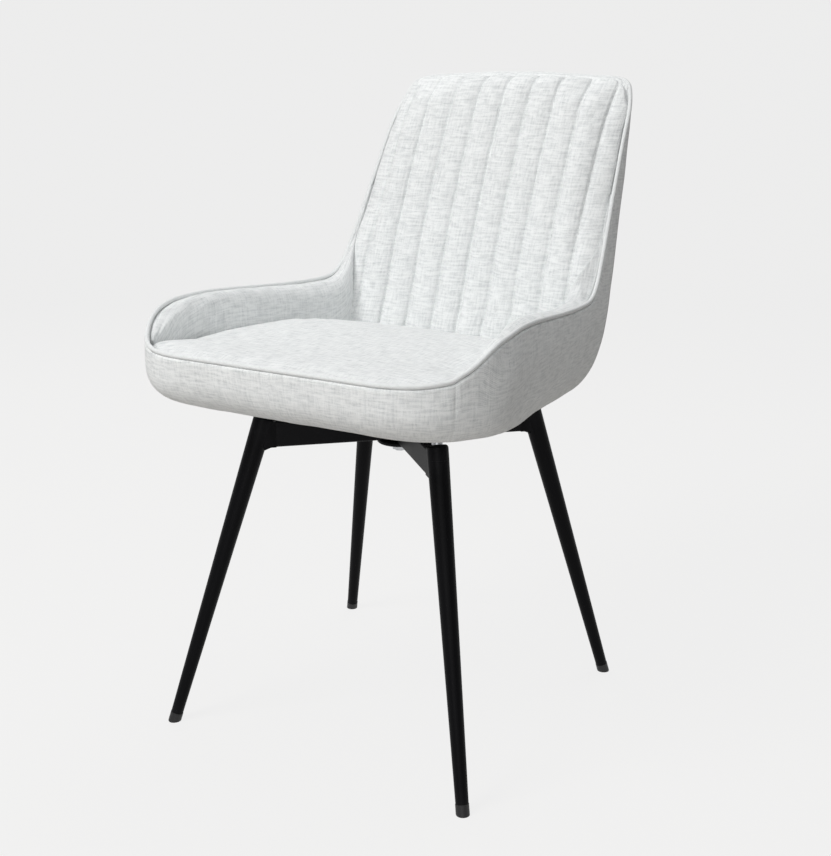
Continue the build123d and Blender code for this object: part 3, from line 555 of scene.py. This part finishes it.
def shell_points():
    """Outer skin of the shell as a grid, with the place of each column and row along the cloth."""
    tree = tree_of("outer_shell")
    angles, spots, seams = column_angles(tree)
    floor_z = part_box("outer_shell")[0].z
    tops = [edge_height(tree, outward(angle)) for angle in angles]
    edge = np.array([shell_hit(tree, outward(angle), (0, SPINE_Y, top - HAIR))
                     for angle, top in zip(angles, tops)])
    height = even_out(edge[:, 2] + np.interp(edge[:, 1], *EDGE_RISE), 16)
    rise = (height - edge[:, 2]) * (1 - smooth_step(edge[:, 2], 0.56, 0.62))
    ahead = np.roll(edge, -1, 0) - np.roll(edge, 1, 0)
    ahead[:, 2] += np.roll(rise, -1) - np.roll(rise, 1)
    ahead = unit(ahead)
    level = np.clip(np.hypot(ahead[:, 0], ahead[:, 1]), 0.3, 1)   # 1 where the edge is level
    skin, rows = [], []
    for k, angle in enumerate(angles):
        points, split = shell_column(tree, angle, floor_z, tops[k])
        even, marks = even_rows(points, split, level[k], 46, 48)
        even[:, 2] += rise[k] * (1 - smooth_step(marks[-1] - marks, 0.0, RISE_DEPTH))
        skin.append(even)
        rows.append(marks)
    return np.array(skin), angles, spots, np.array(rows), seams, ahead, level


def shell_relief(skin, spots, rows, seams, depth):
    """How far the cover lies out from the skin: waves, small folds under the welt and seams."""
    u = np.broadcast_to(spots[:, None], rows.shape)
    lift = 0.0004 * waves(u, rows, 0.09, 3) + 0.00025 * waves(u, rows, 0.035, 4)
    lift += 0.0003 * np.sin(2 * math.pi * u / PUCKER + waves(u, rows * 0, 0.05, 5)) \
        * np.exp(-depth / 0.011)
    for seam in seams:
        away = np.abs(u - seam)
        lift -= 0.0005 * hump(away, SEAM_HALF)
        lift += 0.0001 * hump(away - 2.4 * SEAM_HALF, 1.5 * SEAM_HALF)
        lift += 0.0001 * np.sin(2 * math.pi * rows / 0.009) * np.exp(-away / 0.006)
    lift *= smooth_step(depth, 0.0, 0.004) * smooth_step(skin[:, :, 2], 0.409, 0.418)
    return lift - GROOVE * hump(depth, GROOVE_WIDTH)


def shell_cover(material):
    """Covered outer face, edge and inner face of the shell. Gives what the pads are fitted to."""
    skin, angles, spots, rows, seams, ahead, level = shell_points()
    for _ in range(2):
        skin[:, 1:-1] = 0.5 * skin[:, 1:-1] + 0.25 * (skin[:, 2:] + skin[:, :-2])
    n = grid_normals(skin)
    n[:, 0] = (0, 0, -1)
    depth = (rows[:, -1:] - rows) * level[:, None]    # how far from the edge, along the cloth
    wall = skin - n * WALL
    edge_n = n[:, -1]
    over = np.cross(edge_n, ahead)                 # across the edge, in the wall
    over *= np.sign(over[:, 2:]) / np.linalg.norm(over, axis=1, keepdims=True)
    middle = skin[:, -1] - edge_n * WALL / 2 - over * RIM
    skin = skin + n * shell_relief(skin, spots, rows, seams, depth)[:, :, None]

    # the cut edge, rounded, and the inner face down to the middle of the bottom
    half = WALL / 2 - GROOVE
    rim = np.stack([middle + edge_n * half * math.cos(a) + over * RIM * math.sin(a)
                    for a in np.linspace(0, math.pi, RIM_STEPS)], 1)
    last = skin.shape[1] - 1
    inner_rows = np.append(last - np.arange(2, 14, 2), np.arange(last - 14, -1, -5))
    # the inner face makes room for the back pad
    padded = 0.011 * smooth_step(depth, 0.0, 0.011) * (1 - smooth_step(depth, 0.03, 0.07))
    padded *= smooth_step(middle[:, 2], 0.53, 0.58)[:, None]
    inner = (wall - n * padded[:, :, None])[:, inner_rows]
    points = np.concatenate([skin[:, :-1], rim, inner], 1)
    top = rows[:, -1:]
    v = np.concatenate([rows[:, :-1], top + np.linspace(0, 0.01, RIM_STEPS)[None],
                        top + 0.01 + (top - rows[:, inner_rows])], 1)
    faces, uv = grid(points, spots, v)
    obj = make_piece("shell_cover", points.reshape(-1, 3), faces, uv)
    weld = obj.modifiers.new("weld", "WELD")
    weld.merge_threshold = 0.00005
    bake(obj)
    finish_piece(obj, material)
    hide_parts("outer_shell")
    return Bucket(angles, spots, middle + over * RIM, edge_n, over, wall)


class Bucket:
    """Inner face and edge of the shell by columns, which the welt and the pads are fitted to."""

    def __init__(self, angles, spots, edge, edge_n, over, wall):
        self.angles, self.spots = angles, spots
        self.edge, self.edge_n, self.over = edge, edge_n, over
        cushion = tree_of("seat_cushion")
        self.crown_y = np.linspace(CROWN_FRONT_Y, CROWN_REAR_Y, 31)
        self.crown_z = [cushion.ray_cast(Vector((0, y, 0.7)), Vector((0, 0, -1)))[0].z
                        for y in self.crown_y]
        self.wall_z = wall[:, :, 2]
        self.wall_reach = np.hypot(wall[:, :, 0], wall[:, :, 1] - SPINE_Y)

    def reach(self, k, z):
        """Level distance from the spine to the inner face in column k at heights z."""
        return np.interp(z, self.wall_z[k], self.wall_reach[k])

    def place(self, k, reach, z):
        """Points of column k at these level distances from the spine and heights."""
        side = outward(self.angles[k])
        return np.stack([side[0] * reach, SPINE_Y + side[1] * reach, z + 0 * reach], -1)

    def crown(self, y):
        """Height of the cushion along its middle."""
        return np.interp(y, self.crown_y, self.crown_z) - CROWN_FALL * smooth_step(y, -0.04, 0.12)

    def crease(self, k):
        """Where the arm pad of column k meets the cushion."""
        return float(self.crown(self.edge[k, 1])) - CREASE_DROP

    def arm(self, k):
        """How thick the arm's padding is in column k, level with the cushion's edge."""
        y, z = self.edge[k, 1], self.edge[k, 2]
        thick = np.interp(y, *ARM_THICK)
        return thick + (0.006 - thick) * float(smooth_step(z, 0.55, 0.61))


# ---------------------------------------------------------------- welt
def welt_cord(material, bucket):
    """Piping of covered cord along the shell's edge, one closed loop."""
    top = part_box("outer_shell")[1].z
    raise_by = 0.0021 - 0.0030 * smooth_step(bucket.edge[:, 2], top - 0.07, top - 0.015)
    line = bucket.edge + bucket.edge_n * 0.0007 + bucket.over * raise_by[:, None]
    line = resample_loop(even_out(line, 3), WELT_STEP)
    ahead = unit(np.roll(line, -1, 0) - np.roll(line, 1, 0))
    side = unit(np.cross(ahead, (0, 0, 1.0)))
    over = np.cross(side, ahead)
    u = length_along(line)
    a = np.arange(WELT_AROUND) * 2 * math.pi / WELT_AROUND
    radius = WELT_R * (1 + 0.03 * waves(u, 0 * u, 0.02, 8))
    ring = side[:, None] * np.cos(a)[None, :, None] + over[:, None] * np.sin(a)[None, :, None]
    points = line[:, None] + ring * radius[:, None, None]
    faces, uv = grid(points, u, WELT_R * a, wrap_v=True)
    obj = make_piece("welt_cord", points.reshape(-1, 3), faces[:, ::-1], uv[:, ::-1])
    finish_piece(obj, material)
    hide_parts("welt")


def resample_loop(line, step):
    """A closed line again, at even steps."""
    closed = np.vstack([line, line[:1]])
    length = length_along(closed)
    marks = np.linspace(0, length[-1], round(length[-1] / step), endpoint=False)
    return np.stack([np.interp(marks, length, closed[:, k]) for k in range(3)], 1)


# ---------------------------------------------------------------- pads
def relax(obj, times, factor=0.5):
    """Smooths the mesh a little."""
    mod = obj.modifiers.new("relax", "SMOOTH")
    mod.factor, mod.iterations = factor, times
    bake(obj)


def puff(obj, pressure, cap, held):
    """Blows the piece up as a sewn cover does over its filling, by no more than the cap.

    held gives for each vertex the share by which it is held still.
    """
    start = coords(obj)
    group = obj.vertex_groups.new(name="held")
    for share in np.unique(np.round(held, 1)):
        group.add(np.flatnonzero(np.round(held, 1) == share).tolist(), float(share), "REPLACE")
    cloth = obj.modifiers.new("puff", "CLOTH")
    cloth.settings.use_pressure = True
    cloth.settings.uniform_pressure_force = pressure
    cloth.settings.effector_weights.gravity = 0.0
    cloth.settings.vertex_group_mass = "held"
    cloth.settings.quality = 4
    cloth.collision_settings.use_collision = False
    cloth.point_cache.frame_start, cloth.point_cache.frame_end = 1, PUFF_FRAMES
    for k in range(1, PUFF_FRAMES + 1):
        scene.frame_set(k)
    bake(obj)
    scene.frame_set(1)
    move = coords(obj) - start
    size = np.linalg.norm(move, axis=1, keepdims=True)
    set_coords(obj, start + move * np.minimum(1, cap / np.maximum(size, 1e-9)))
    obj.vertex_groups.clear()


def cushion_rim(bucket, k):
    """Level reach and height of the cushion's edge in column k."""
    if bucket.edge[k, 1] < ARM_FRONT_Y:
        edge_z = bucket.edge[k, 2] - 0.004
        out = bucket.reach(k, edge_z) - 0.0005
    else:
        share = float(smooth_step(bucket.arm(k), 0.002, 0.020))
        edge_z = (1 - share) * (bucket.edge[k, 2] - 0.004) + share * (bucket.crease(k) - 0.003)
        out = bucket.reach(k, edge_z) - bucket.arm(k) + 0.001
    rearward = -math.cos(bucket.angles[k])
    if rearward > 0.05:
        out = min(out, (CUSHION_REAR_Y - SPINE_Y) / rearward)
        edge_z = min(edge_z, float(bucket.crown(SPINE_Y + out * rearward)) - 0.006)
    return out, edge_z


def seat_cushion(material, bucket):
    """Crowned cushion that fills the bucket up to the welt in front and to the pads elsewhere."""
    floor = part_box("seat_cushion")[0].z
    rings = []
    for k, angle in enumerate(bucket.angles):
        out, edge_z = cushion_rim(bucket, k)
        q = np.sin(np.linspace(0, math.pi / 2, 26))
        crown = bucket.crown(SPINE_Y - out * q * math.cos(angle))
        top_z = edge_z + (crown - edge_z) * (1 - q ** 3.4) ** 0.42
        side_z = np.linspace(edge_z, floor, 8)[1:]
        side = np.minimum(out, bucket.reach(k, side_z) - 0.002)
        reach = np.concatenate([q * out, side, side[-1] * np.linspace(0.9, 0, 8)])
        z = np.concatenate([top_z, side_z, np.full(8, floor)])
        rings.append(bucket.place(k, reach, z))
    points = np.array(rings)
    faces, _ = grid(points, bucket.spots, np.arange(points.shape[1]) * 0.01)
    obj = make_piece("cushion_cover", points.reshape(-1, 3), faces)
    remesh(obj, CUSHION_VOXEL)
    relax(obj, 3)
    puff(obj, 4.0, 0.003, 1 - smooth_step(coords(obj)[:, 2], 0.485, 0.501))
    relax(obj, 4)
    subdivide(obj)
    co, n = coords(obj), normals(obj)
    lift = 0.0006 * waves(co[:, 0], co[:, 1], 0.11, 21) \
        + 0.0002 * waves(co[:, 0], co[:, 1], 0.03, 22)
    set_coords(obj, co + n * lift[:, None])
    box_map(obj, (0.8, 0.8, 1.2))
    finish_piece(obj, material)
    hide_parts("seat_cushion")


def arm_section(bucket, k):
    """Outline of the arm's padding in column k, one closed ring of points."""
    top, thick, low = bucket.edge[k, 2] + 0.0006, bucket.arm(k), bucket.crease(k)
    bulge = ARM_BULGE * thick * (1 - float(smooth_step(top, 0.55, 0.60)))
    climb = np.linspace(0, 1, 7)[:-1]              # from the edge to the crest
    a = np.linspace(0, math.pi / 2, 20)            # from the crest down to the cushion
    drop, draw = np.cos(a) ** (2 / ARM_FULL), np.sin(a) ** (2 / ARM_FULL)
    below = np.linspace(low, ARM_FOOT_Z, 6)[1:]
    behind = np.linspace(ARM_FOOT_Z, top - 0.001, 12)
    z = np.concatenate([top + bulge * np.sin(climb * math.pi / 2),
                        low + (top + bulge - low) * drop, below, behind])
    inset = np.concatenate([climb * ARM_CREST, ARM_CREST + (1 - ARM_CREST) * draw,
                            np.ones(5), np.zeros(12)]) * thick
    return bucket.place(k, bucket.reach(k, z) - inset, z)


def tube_map(points):
    """Faces and map of a row of closed rings."""
    count, around = points.shape[:2]
    i, j = [m.ravel() for m in np.meshgrid(np.arange(count - 1), np.arange(around), indexing="ij")]
    i2, j2 = i + 1, (j + 1) % around
    faces = np.stack([i * around + j, i2 * around + j, i2 * around + j2, i * around + j2], 1)
    along = length_along(points[:, 8])
    step = np.linalg.norm(np.diff(points, axis=1, append=points[:, :1]), axis=2)
    down = np.append(np.zeros((count, 1)), -np.cumsum(step, axis=1), axis=1)
    uv = np.stack([np.stack([along[p], down[p, q]], 1)
                   for p, q in ((i, j), (i2, j), (i2, j + 1), (i, j + 1))], 1)
    return faces, uv


def arm_pad(side, material, bucket):
    """Padding of one arm: starts at the front corner and ends behind the back pad."""
    turned = 2 * math.pi - bucket.angles if side == "left" else bucket.angles
    picked = np.flatnonzero((turned > 0) & (turned < math.pi)
                            & (bucket.edge[:, 1] > ARM_FRONT_Y) & (bucket.edge[:, 2] < 0.68))
    points = np.array([arm_section(bucket, k) for k in picked])
    faces, uv = tube_map(points)
    if side == "left":
        faces, uv = faces[:, ::-1], uv[:, ::-1]
    obj = make_piece(f"arm_cover_{side}", points.reshape(-1, 3), faces, uv)
    close_ends(obj)
    puff(obj, 3.0, 0.0015, 1 - smooth_step(coords(obj)[:, 2], 0.490, 0.510))
    relax(obj, 2, 0.4)
    subdivide(obj)
    co, n = coords(obj), normals(obj)
    lift = 0.0005 * waves(co[:, 1], co[:, 2], 0.07, 31) \
        + 0.0002 * waves(co[:, 1], co[:, 2], 0.02, 32)
    set_coords(obj, co + n * lift[:, None])
    finish_piece(obj, material)
    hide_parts(f"arm_pad_{side}")


def close_ends(obj):
    """Closes the open ends of a tube and turns its faces outward."""
    form = bmesh.new()
    form.from_mesh(obj.data)
    bmesh.ops.holes_fill(form, edges=[e for e in form.edges if e.is_boundary], sides=0)
    bmesh.ops.recalc_face_normals(form, faces=form.faces[:])
    form.to_mesh(obj.data)
    form.free()


def rim_reach(points):
    """How far flat points reach from their middle, in each of RIM_BINS even directions."""
    bins = np.linspace(-math.pi, math.pi, RIM_BINS + 1)
    turn, far = np.arctan2(points[:, 0], points[:, 1]), np.hypot(*points.T)
    slot = np.digitize(turn, bins) - 1
    reach = np.array([far[slot == k].max() if (slot == k).any() else np.nan
                      for k in range(RIM_BINS)])
    known = np.flatnonzero(~np.isnan(reach))
    return even_out(np.interp(np.arange(RIM_BINS), known, reach[known]), 3)


def fill_to_edge(obj, bucket):
    """Spreads the pad's outer part so that it fills the back's edge, corners too."""
    middle = np.array(BACK_MIDDLE)
    edge = bucket.edge[bucket.edge[:, 2] > 0.545]
    co = coords(obj)
    flat = co[:, [0, 2]] - middle
    turn, far = np.arctan2(flat[:, 0], flat[:, 1]), np.hypot(*flat.T)
    at = (np.arange(RIM_BINS) + 0.5) * 2 * math.pi / RIM_BINS - math.pi
    own = np.interp(turn, at, rim_reach(flat))
    wanted = np.interp(turn, at, rim_reach(edge[:, [0, 2]] - middle) - RIM_GAP)
    gain = np.clip(wanted / own - 1, 0, 0.2)
    gain *= smooth_step(far / own, 0.72, 0.98) * smooth_step(co[:, 2], 0.55, 0.62)
    co[:, [0, 2]] += flat * gain[:, None]

    # lay the front's outer part back towards the edge
    side = edge[edge[:, 0] > 0]
    order = side[:, 2].argsort()
    edge_y = np.interp(co[:, 2], side[order, 2], side[order, 1])
    share = far * (1 + gain) / wanted
    x = np.abs(co[:, 0])
    corner = smooth_step(co[:, 2], 0.74, 0.80) * smooth_step(x, 0.09, 0.15)
    lay = (0.40 + 0.30 * corner) * smooth_step(share, 0.70, 1.0) * smooth_step(x, 0.06, 0.12)
    lay *= smooth_step(co[:, 2], 0.56, 0.64)
    co[:, 1] += lay * np.maximum(edge_y - co[:, 1], 0)
    set_coords(obj, co)


def back_pad(material, thread, bucket):
    """Back pad with nine sewn seams between its ten channels."""
    obj = place_object("back_cover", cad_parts["back_pad"].data.copy())
    obj.data.materials.clear()
    remesh(obj, BACK_VOXEL)
    relax(obj, 2)
    fill_to_edge(obj, bucket)
    subdivide(obj)
    co, n = coords(obj), normals(obj)
    last = (SEAMS - 1) // 2
    nearest = np.clip(np.round(co[:, 0] / CHANNEL), -last, last)
    away = np.abs(co[:, 0] - nearest * CHANNEL)
    lift = -SEAM_DEPTH * hump(away, SEAM_WIDTH) - TROUGH_DEPTH * hump(away, TROUGH_WIDTH)
    # small folds run across the channels from the seams
    fold = np.sin(2 * math.pi * co[:, 2] / 0.0135 + 2.5 * waves(co[:, 2], nearest, 0.06, 41))
    lift += 0.0003 * fold * np.exp(-away / 0.006) * (1 - hump(away, 0.0015))
    lift *= smooth_step(0.8 * n[:, 2] - n[:, 1], 0.15, 0.55)    # on the front and the top only
    lift += 0.0005 * waves(co[:, 0], co[:, 2], 0.08, 42) \
        + 0.0002 * waves(co[:, 0], co[:, 2], 0.025, 43)
    set_coords(obj, co + n * lift[:, None])
    box_map(obj, (0.6, 1.3, 0.8))
    finish_piece(obj, material)
    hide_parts("back_pad")
    stitches(obj, thread)


def stitches(pad, material):
    """Lockstitches lying in the seams of the back pad."""
    tree = BVHTree.FromObject(pad, bpy.context.evaluated_depsgraph_get())
    low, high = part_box("back_pad")
    verts, faces = [], []
    ring = np.array([(math.cos(a), math.sin(a)) for a in np.arange(6) * math.pi / 3])
    # each stitch is four rings: how far along, how wide and how deep in the cloth
    form = ((0.0, 0.5, 1.0), (0.2, 1.0, 0.0), (0.8, 1.0, 0.0), (1.0, 0.5, 1.0))
    for x in np.arange(-(SEAMS // 2), SEAMS // 2 + 1) * CHANNEL:
        for z in np.arange(low.z + 0.045, high.z - 0.004, STITCH):
            ends = [tree.ray_cast(Vector((x, -0.1, z + d)), Vector((0, 1, 0)))[0]
                    for d in (0, STITCH_LENGTH)]
            if None in ends:
                continue
            a, b = [np.array(e) - (0, STITCH_R * 0.6, 0) for e in ends]
            base = len(verts)
            for t, size, sink in form:
                at = a + (b - a) * t + (0, sink * STITCH_R, 0)
                verts += [at + (cx, cy, 0) for cx, cy in ring * STITCH_R * size]
            for p in (base, base + 6, base + 12):
                faces += [[p + r, p + (r + 1) % 6, p + 6 + (r + 1) % 6, p + 6 + r]
                          for r in range(6)]
            faces.append([base + r for r in range(5, -1, -1)])
            faces.append([base + 18 + r for r in range(6)])
    mesh = bpy.data.meshes.new("back_stitches")
    mesh.from_pydata([tuple(v) for v in verts], [], faces)
    finish_piece(place_object("back_stitches", mesh), material)


def sewing_thread(name):
    """Twisted thread a little lighter than the cloth."""
    n = Nodes(name)
    place = n.add("TexCoord").outputs["Object"]
    parts = n.add("SeparateXYZ", {0: place}).outputs
    twist = n.math("SINE", n.math("MULTIPLY_ADD", parts[2], 9000.0,
                                  n.math("MULTIPLY", parts[0], 6000.0)))
    tone = n.math("MULTIPLY_ADD", twist, 0.3, 0.6, clamp=True)
    base = n.mix(tone, rgba(THREAD_DARK), rgba(THREAD_LIGHT))
    return n.finish(Base_Color=base, Roughness=0.6, Normal=n.bump(twist, 0.00005, 0.5))


# ---------------------------------------------------------------- cover under the seat
def dust_sheet(material, staple_material):
    """Thin cloth stapled under the bucket, sagging a little between its edges."""
    low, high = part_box("dust_cover")
    mid = (low + high) / 2
    half_x, half_y = (high.x - low.x) / 2, (high.y - low.y) / 2
    columns, rings = 160, 26
    a = np.arange(columns) * 2 * math.pi / columns
    reach = (np.abs(np.cos(a) / half_x) ** SHEET_POWER
             + np.abs(np.sin(a) / half_y) ** SHEET_POWER) ** (-1 / SHEET_POWER)
    edge = np.stack([reach * np.cos(a), reach * np.sin(a)], 1)
    inner = PIVOT_HOLE * np.stack([np.cos(a), np.sin(a)], 1) - (mid.x, mid.y - PIVOT_Y)
    t = (np.arange(rings) / (rings - 1))[None, :, None]
    flat = inner[:, None] * (1 - t) + edge[:, None] * t
    sag = -0.0010 * np.sin(np.pi * t[..., 0]) \
        + 0.0004 * waves(flat[..., 0], flat[..., 1], 0.05, 51) \
        * smooth_step(1 - t[..., 0], 0.0, 0.15)
    below = np.dstack([flat + (mid.x, mid.y), low.z + 0.0001 + np.minimum(sag, 0.0002)])
    above = below + np.array((0, 0, SHEET_THICK))
    points = np.concatenate([below, above[:, ::-1]], 1)
    faces, _ = grid(points, a, np.linspace(0, 0.3, points.shape[1]), wrap_v=True)
    obj = make_piece("dust_sheet", points.reshape(-1, 3), faces[:, ::-1])
    box_map(obj, (0.1, 0.1, 1.0))
    finish_piece(obj, material)
    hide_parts("dust_cover")
    # staples a little inside the outline, all the way round
    staples(edge * 0.965 + (mid.x, mid.y), low.z, staple_material)


def staples(line, z, material):
    """Wire staples round the cover, each a flat crown with its two bends."""
    places = resample_loop(np.column_stack([line, np.full(len(line), z)]), STAPLE_GAP)
    ahead = unit(np.roll(places, -1, 0) - np.roll(places, 1, 0))
    verts, faces = [], []
    half, wide, thick = 0.0052, 0.0006, 0.0005
    profile = ((-half, 0.0012), (-half, -0.0001), (-half + 0.0007, -thick),
               (half - 0.0007, -thick), (half, -0.0001), (half, 0.0012))
    for at, along in zip(places, ahead):
        across = np.array((-along[1], along[0], 0))
        base = len(verts)
        for s, drop in profile:
            for w, up in ((-wide, 0), (wide, 0), (wide, thick), (-wide, thick)):
                verts.append(at + along * s + across * w + np.array((0, 0, drop + up)))
        for p in range(base, base + 20, 4):
            faces += [[p + r, p + (r + 1) % 4, p + 4 + (r + 1) % 4, p + 4 + r] for r in range(4)]
        faces.append([base + 3, base + 2, base + 1, base])
        faces.append([base + 20 + r for r in range(4)])
    obj = make_piece("cover_staples", verts, faces)
    finish_piece(obj, material)
    obj.data.shade_flat()


# ---------------------------------------------------------------- stage
def stage():
    """Pale floor that turns up into a backdrop, seen flat by the camera but keeping the shadow."""
    n = Nodes("backdrop")
    rays = n.add("LightPath").outputs
    seen = n.math("MAXIMUM", rays["Is Camera Ray"],
                  n.math("MAXIMUM", rays["Is Glossy Ray"], rays["Is Transmission Ray"]))
    glow = n.add("Emission", {"Color": rgba((FLOOR_GLOW,) * 3), "Strength": 1.0})
    grain = n.noise(n.add("TexCoord").outputs["Object"], 6.0)
    colour = n.mix(grain, rgba(FLOOR), rgba(tuple(0.97 * c for c in FLOOR)))
    matt = n.add("BsdfDiffuse", {"Color": colour})
    blend = n.add("MixShader", {0: n.math("MULTIPLY", seen, 0.86)})
    n.set(blend.inputs[1], matt.outputs[0])
    n.set(blend.inputs[2], glow.outputs[0])
    n.set(n.tree.nodes["Material Output"].inputs[0], blend.outputs[0])
    near, far, turn, high, half = -6.0, 3.2, 1.6, 5.0, 8.0
    profile = [(near, 0.0), (far, 0.0)]
    profile += [(far + turn * math.sin(b), turn * (1 - math.cos(b)))
                for b in np.linspace(0, math.pi / 2, 17)[1:]]
    profile.append((far + turn, high))
    verts = [(x, y, z) for y, z in profile for x in (-half, half)]
    faces = [(2 * k, 2 * k + 1, 2 * k + 3, 2 * k + 2) for k in range(len(profile) - 1)]
    backdrop = make_piece("backdrop", verts, faces)
    backdrop.data.materials.append(n.material)
    backdrop.rotation_euler = (0, 0, math.radians(CAMERA_TURN))


def lights():
    """Pale sky, seen flat by the camera, and four large lamps."""
    world = bpy.data.worlds.new("studio")
    scene.world = world
    world.use_nodes = True
    tree = world.node_tree
    back = tree.nodes["Background"]
    back.inputs["Color"].default_value = rgba(SKY)
    back.inputs["Strength"].default_value = SKY_STRENGTH
    rays = tree.nodes.new("ShaderNodeLightPath")
    flat = tree.nodes.new("ShaderNodeBackground")
    flat.inputs["Color"].default_value = rgba((BACKGROUND,) * 3)
    mix = tree.nodes.new("ShaderNodeMixShader")
    tree.links.new(rays.outputs["Is Camera Ray"], mix.inputs[0])
    tree.links.new(back.outputs[0], mix.inputs[1])
    tree.links.new(flat.outputs[0], mix.inputs[2])
    tree.links.new(mix.outputs[0], tree.nodes["World Output"].inputs[0])
    for name, (place, size, power, colour) in LIGHTS.items():
        area_light(name, place, size, power, colour)


def area_light(name, place, size, power, colour):
    """Round lamp aimed at the seat."""
    data = bpy.data.lights.new(name, "AREA")
    data.shape, data.size, data.energy, data.color = "DISK", size, power, colour
    lamp = place_object(name, data)
    lamp.location = place
    lamp.rotation_euler = (LIT_POINT - Vector(place)).to_track_quat("-Z", "Y").to_euler()


def camera():
    """The photograph's own camera, fitted to the chair's outline."""
    data = bpy.data.cameras.new("camera")
    data.lens, data.sensor_width = CAMERA_LENS, 36.0
    obj = place_object("camera", data)
    turn = Euler((math.radians(90 - CAMERA_DOWN), 0, math.radians(CAMERA_TURN))).to_matrix()
    turn = turn @ Matrix.Rotation(math.radians(CAMERA_ROLL), 3, "Z")
    obj.matrix_world = Matrix.Translation(CAMERA_AT) @ turn.to_4x4()
    scene.camera = obj


def dress_frame(materials):
    """Gives each remaining CAD node the material of its slot."""
    finishes = {
        "leg": "black_steel", "cross": "black_steel", "half": "black_steel", "hub": "black_steel",
        "glide": "black_plastic", "swivel": "plate_steel", "ball": "cage_plastic",
        "bearing": "ball_steel", "seat_board": "plywood", "back_board": "plywood",
    }
    for name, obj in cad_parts.items():
        finish = "zinc_steel"
        for start, slot in finishes.items():
            if name.startswith(start) and not name.startswith(("leg_bolts", "leg_inserts")):
                finish = slot
        for k in range(len(obj.material_slots)):
            obj.material_slots[k].material = materials[finish]


def main():
    scene.view_settings.view_transform = "Standard"
    camera()
    lights()
    stage()
    linen = fabric("linen")
    zinc = bare_metal("zinc_steel", ZINC, 0.35, (900.0, 900.0, 90.0))
    dress_frame({
        "black_steel": coated_steel("black_steel", STEEL, 0.42),
        "black_plastic": plastic("black_plastic", BLACK_PLASTIC, 0.5),
        "plate_steel": coated_steel("plate_steel", PLATE_STEEL, 0.42),
        "cage_plastic": plastic("cage_plastic", CAGE_PLASTIC, 0.45),
        "ball_steel": bare_metal("ball_steel", BALL_STEEL, 0.14, (300.0, 300.0, 300.0)),
        "plywood": plywood("plywood"),
        "zinc_steel": zinc,
    })
    bucket = shell_cover(linen)
    welt_cord(fabric("welt_linen", 45.0, WELT_SHADE, WELT_LIGHT), bucket)
    seat_cushion(linen, bucket)
    back_pad(linen, sewing_thread("thread"), bucket)
    for side in ("right", "left"):
        arm_pad(side, linen, bucket)
    dust_sheet(felted_cloth("dust_cloth"), zinc)


main()
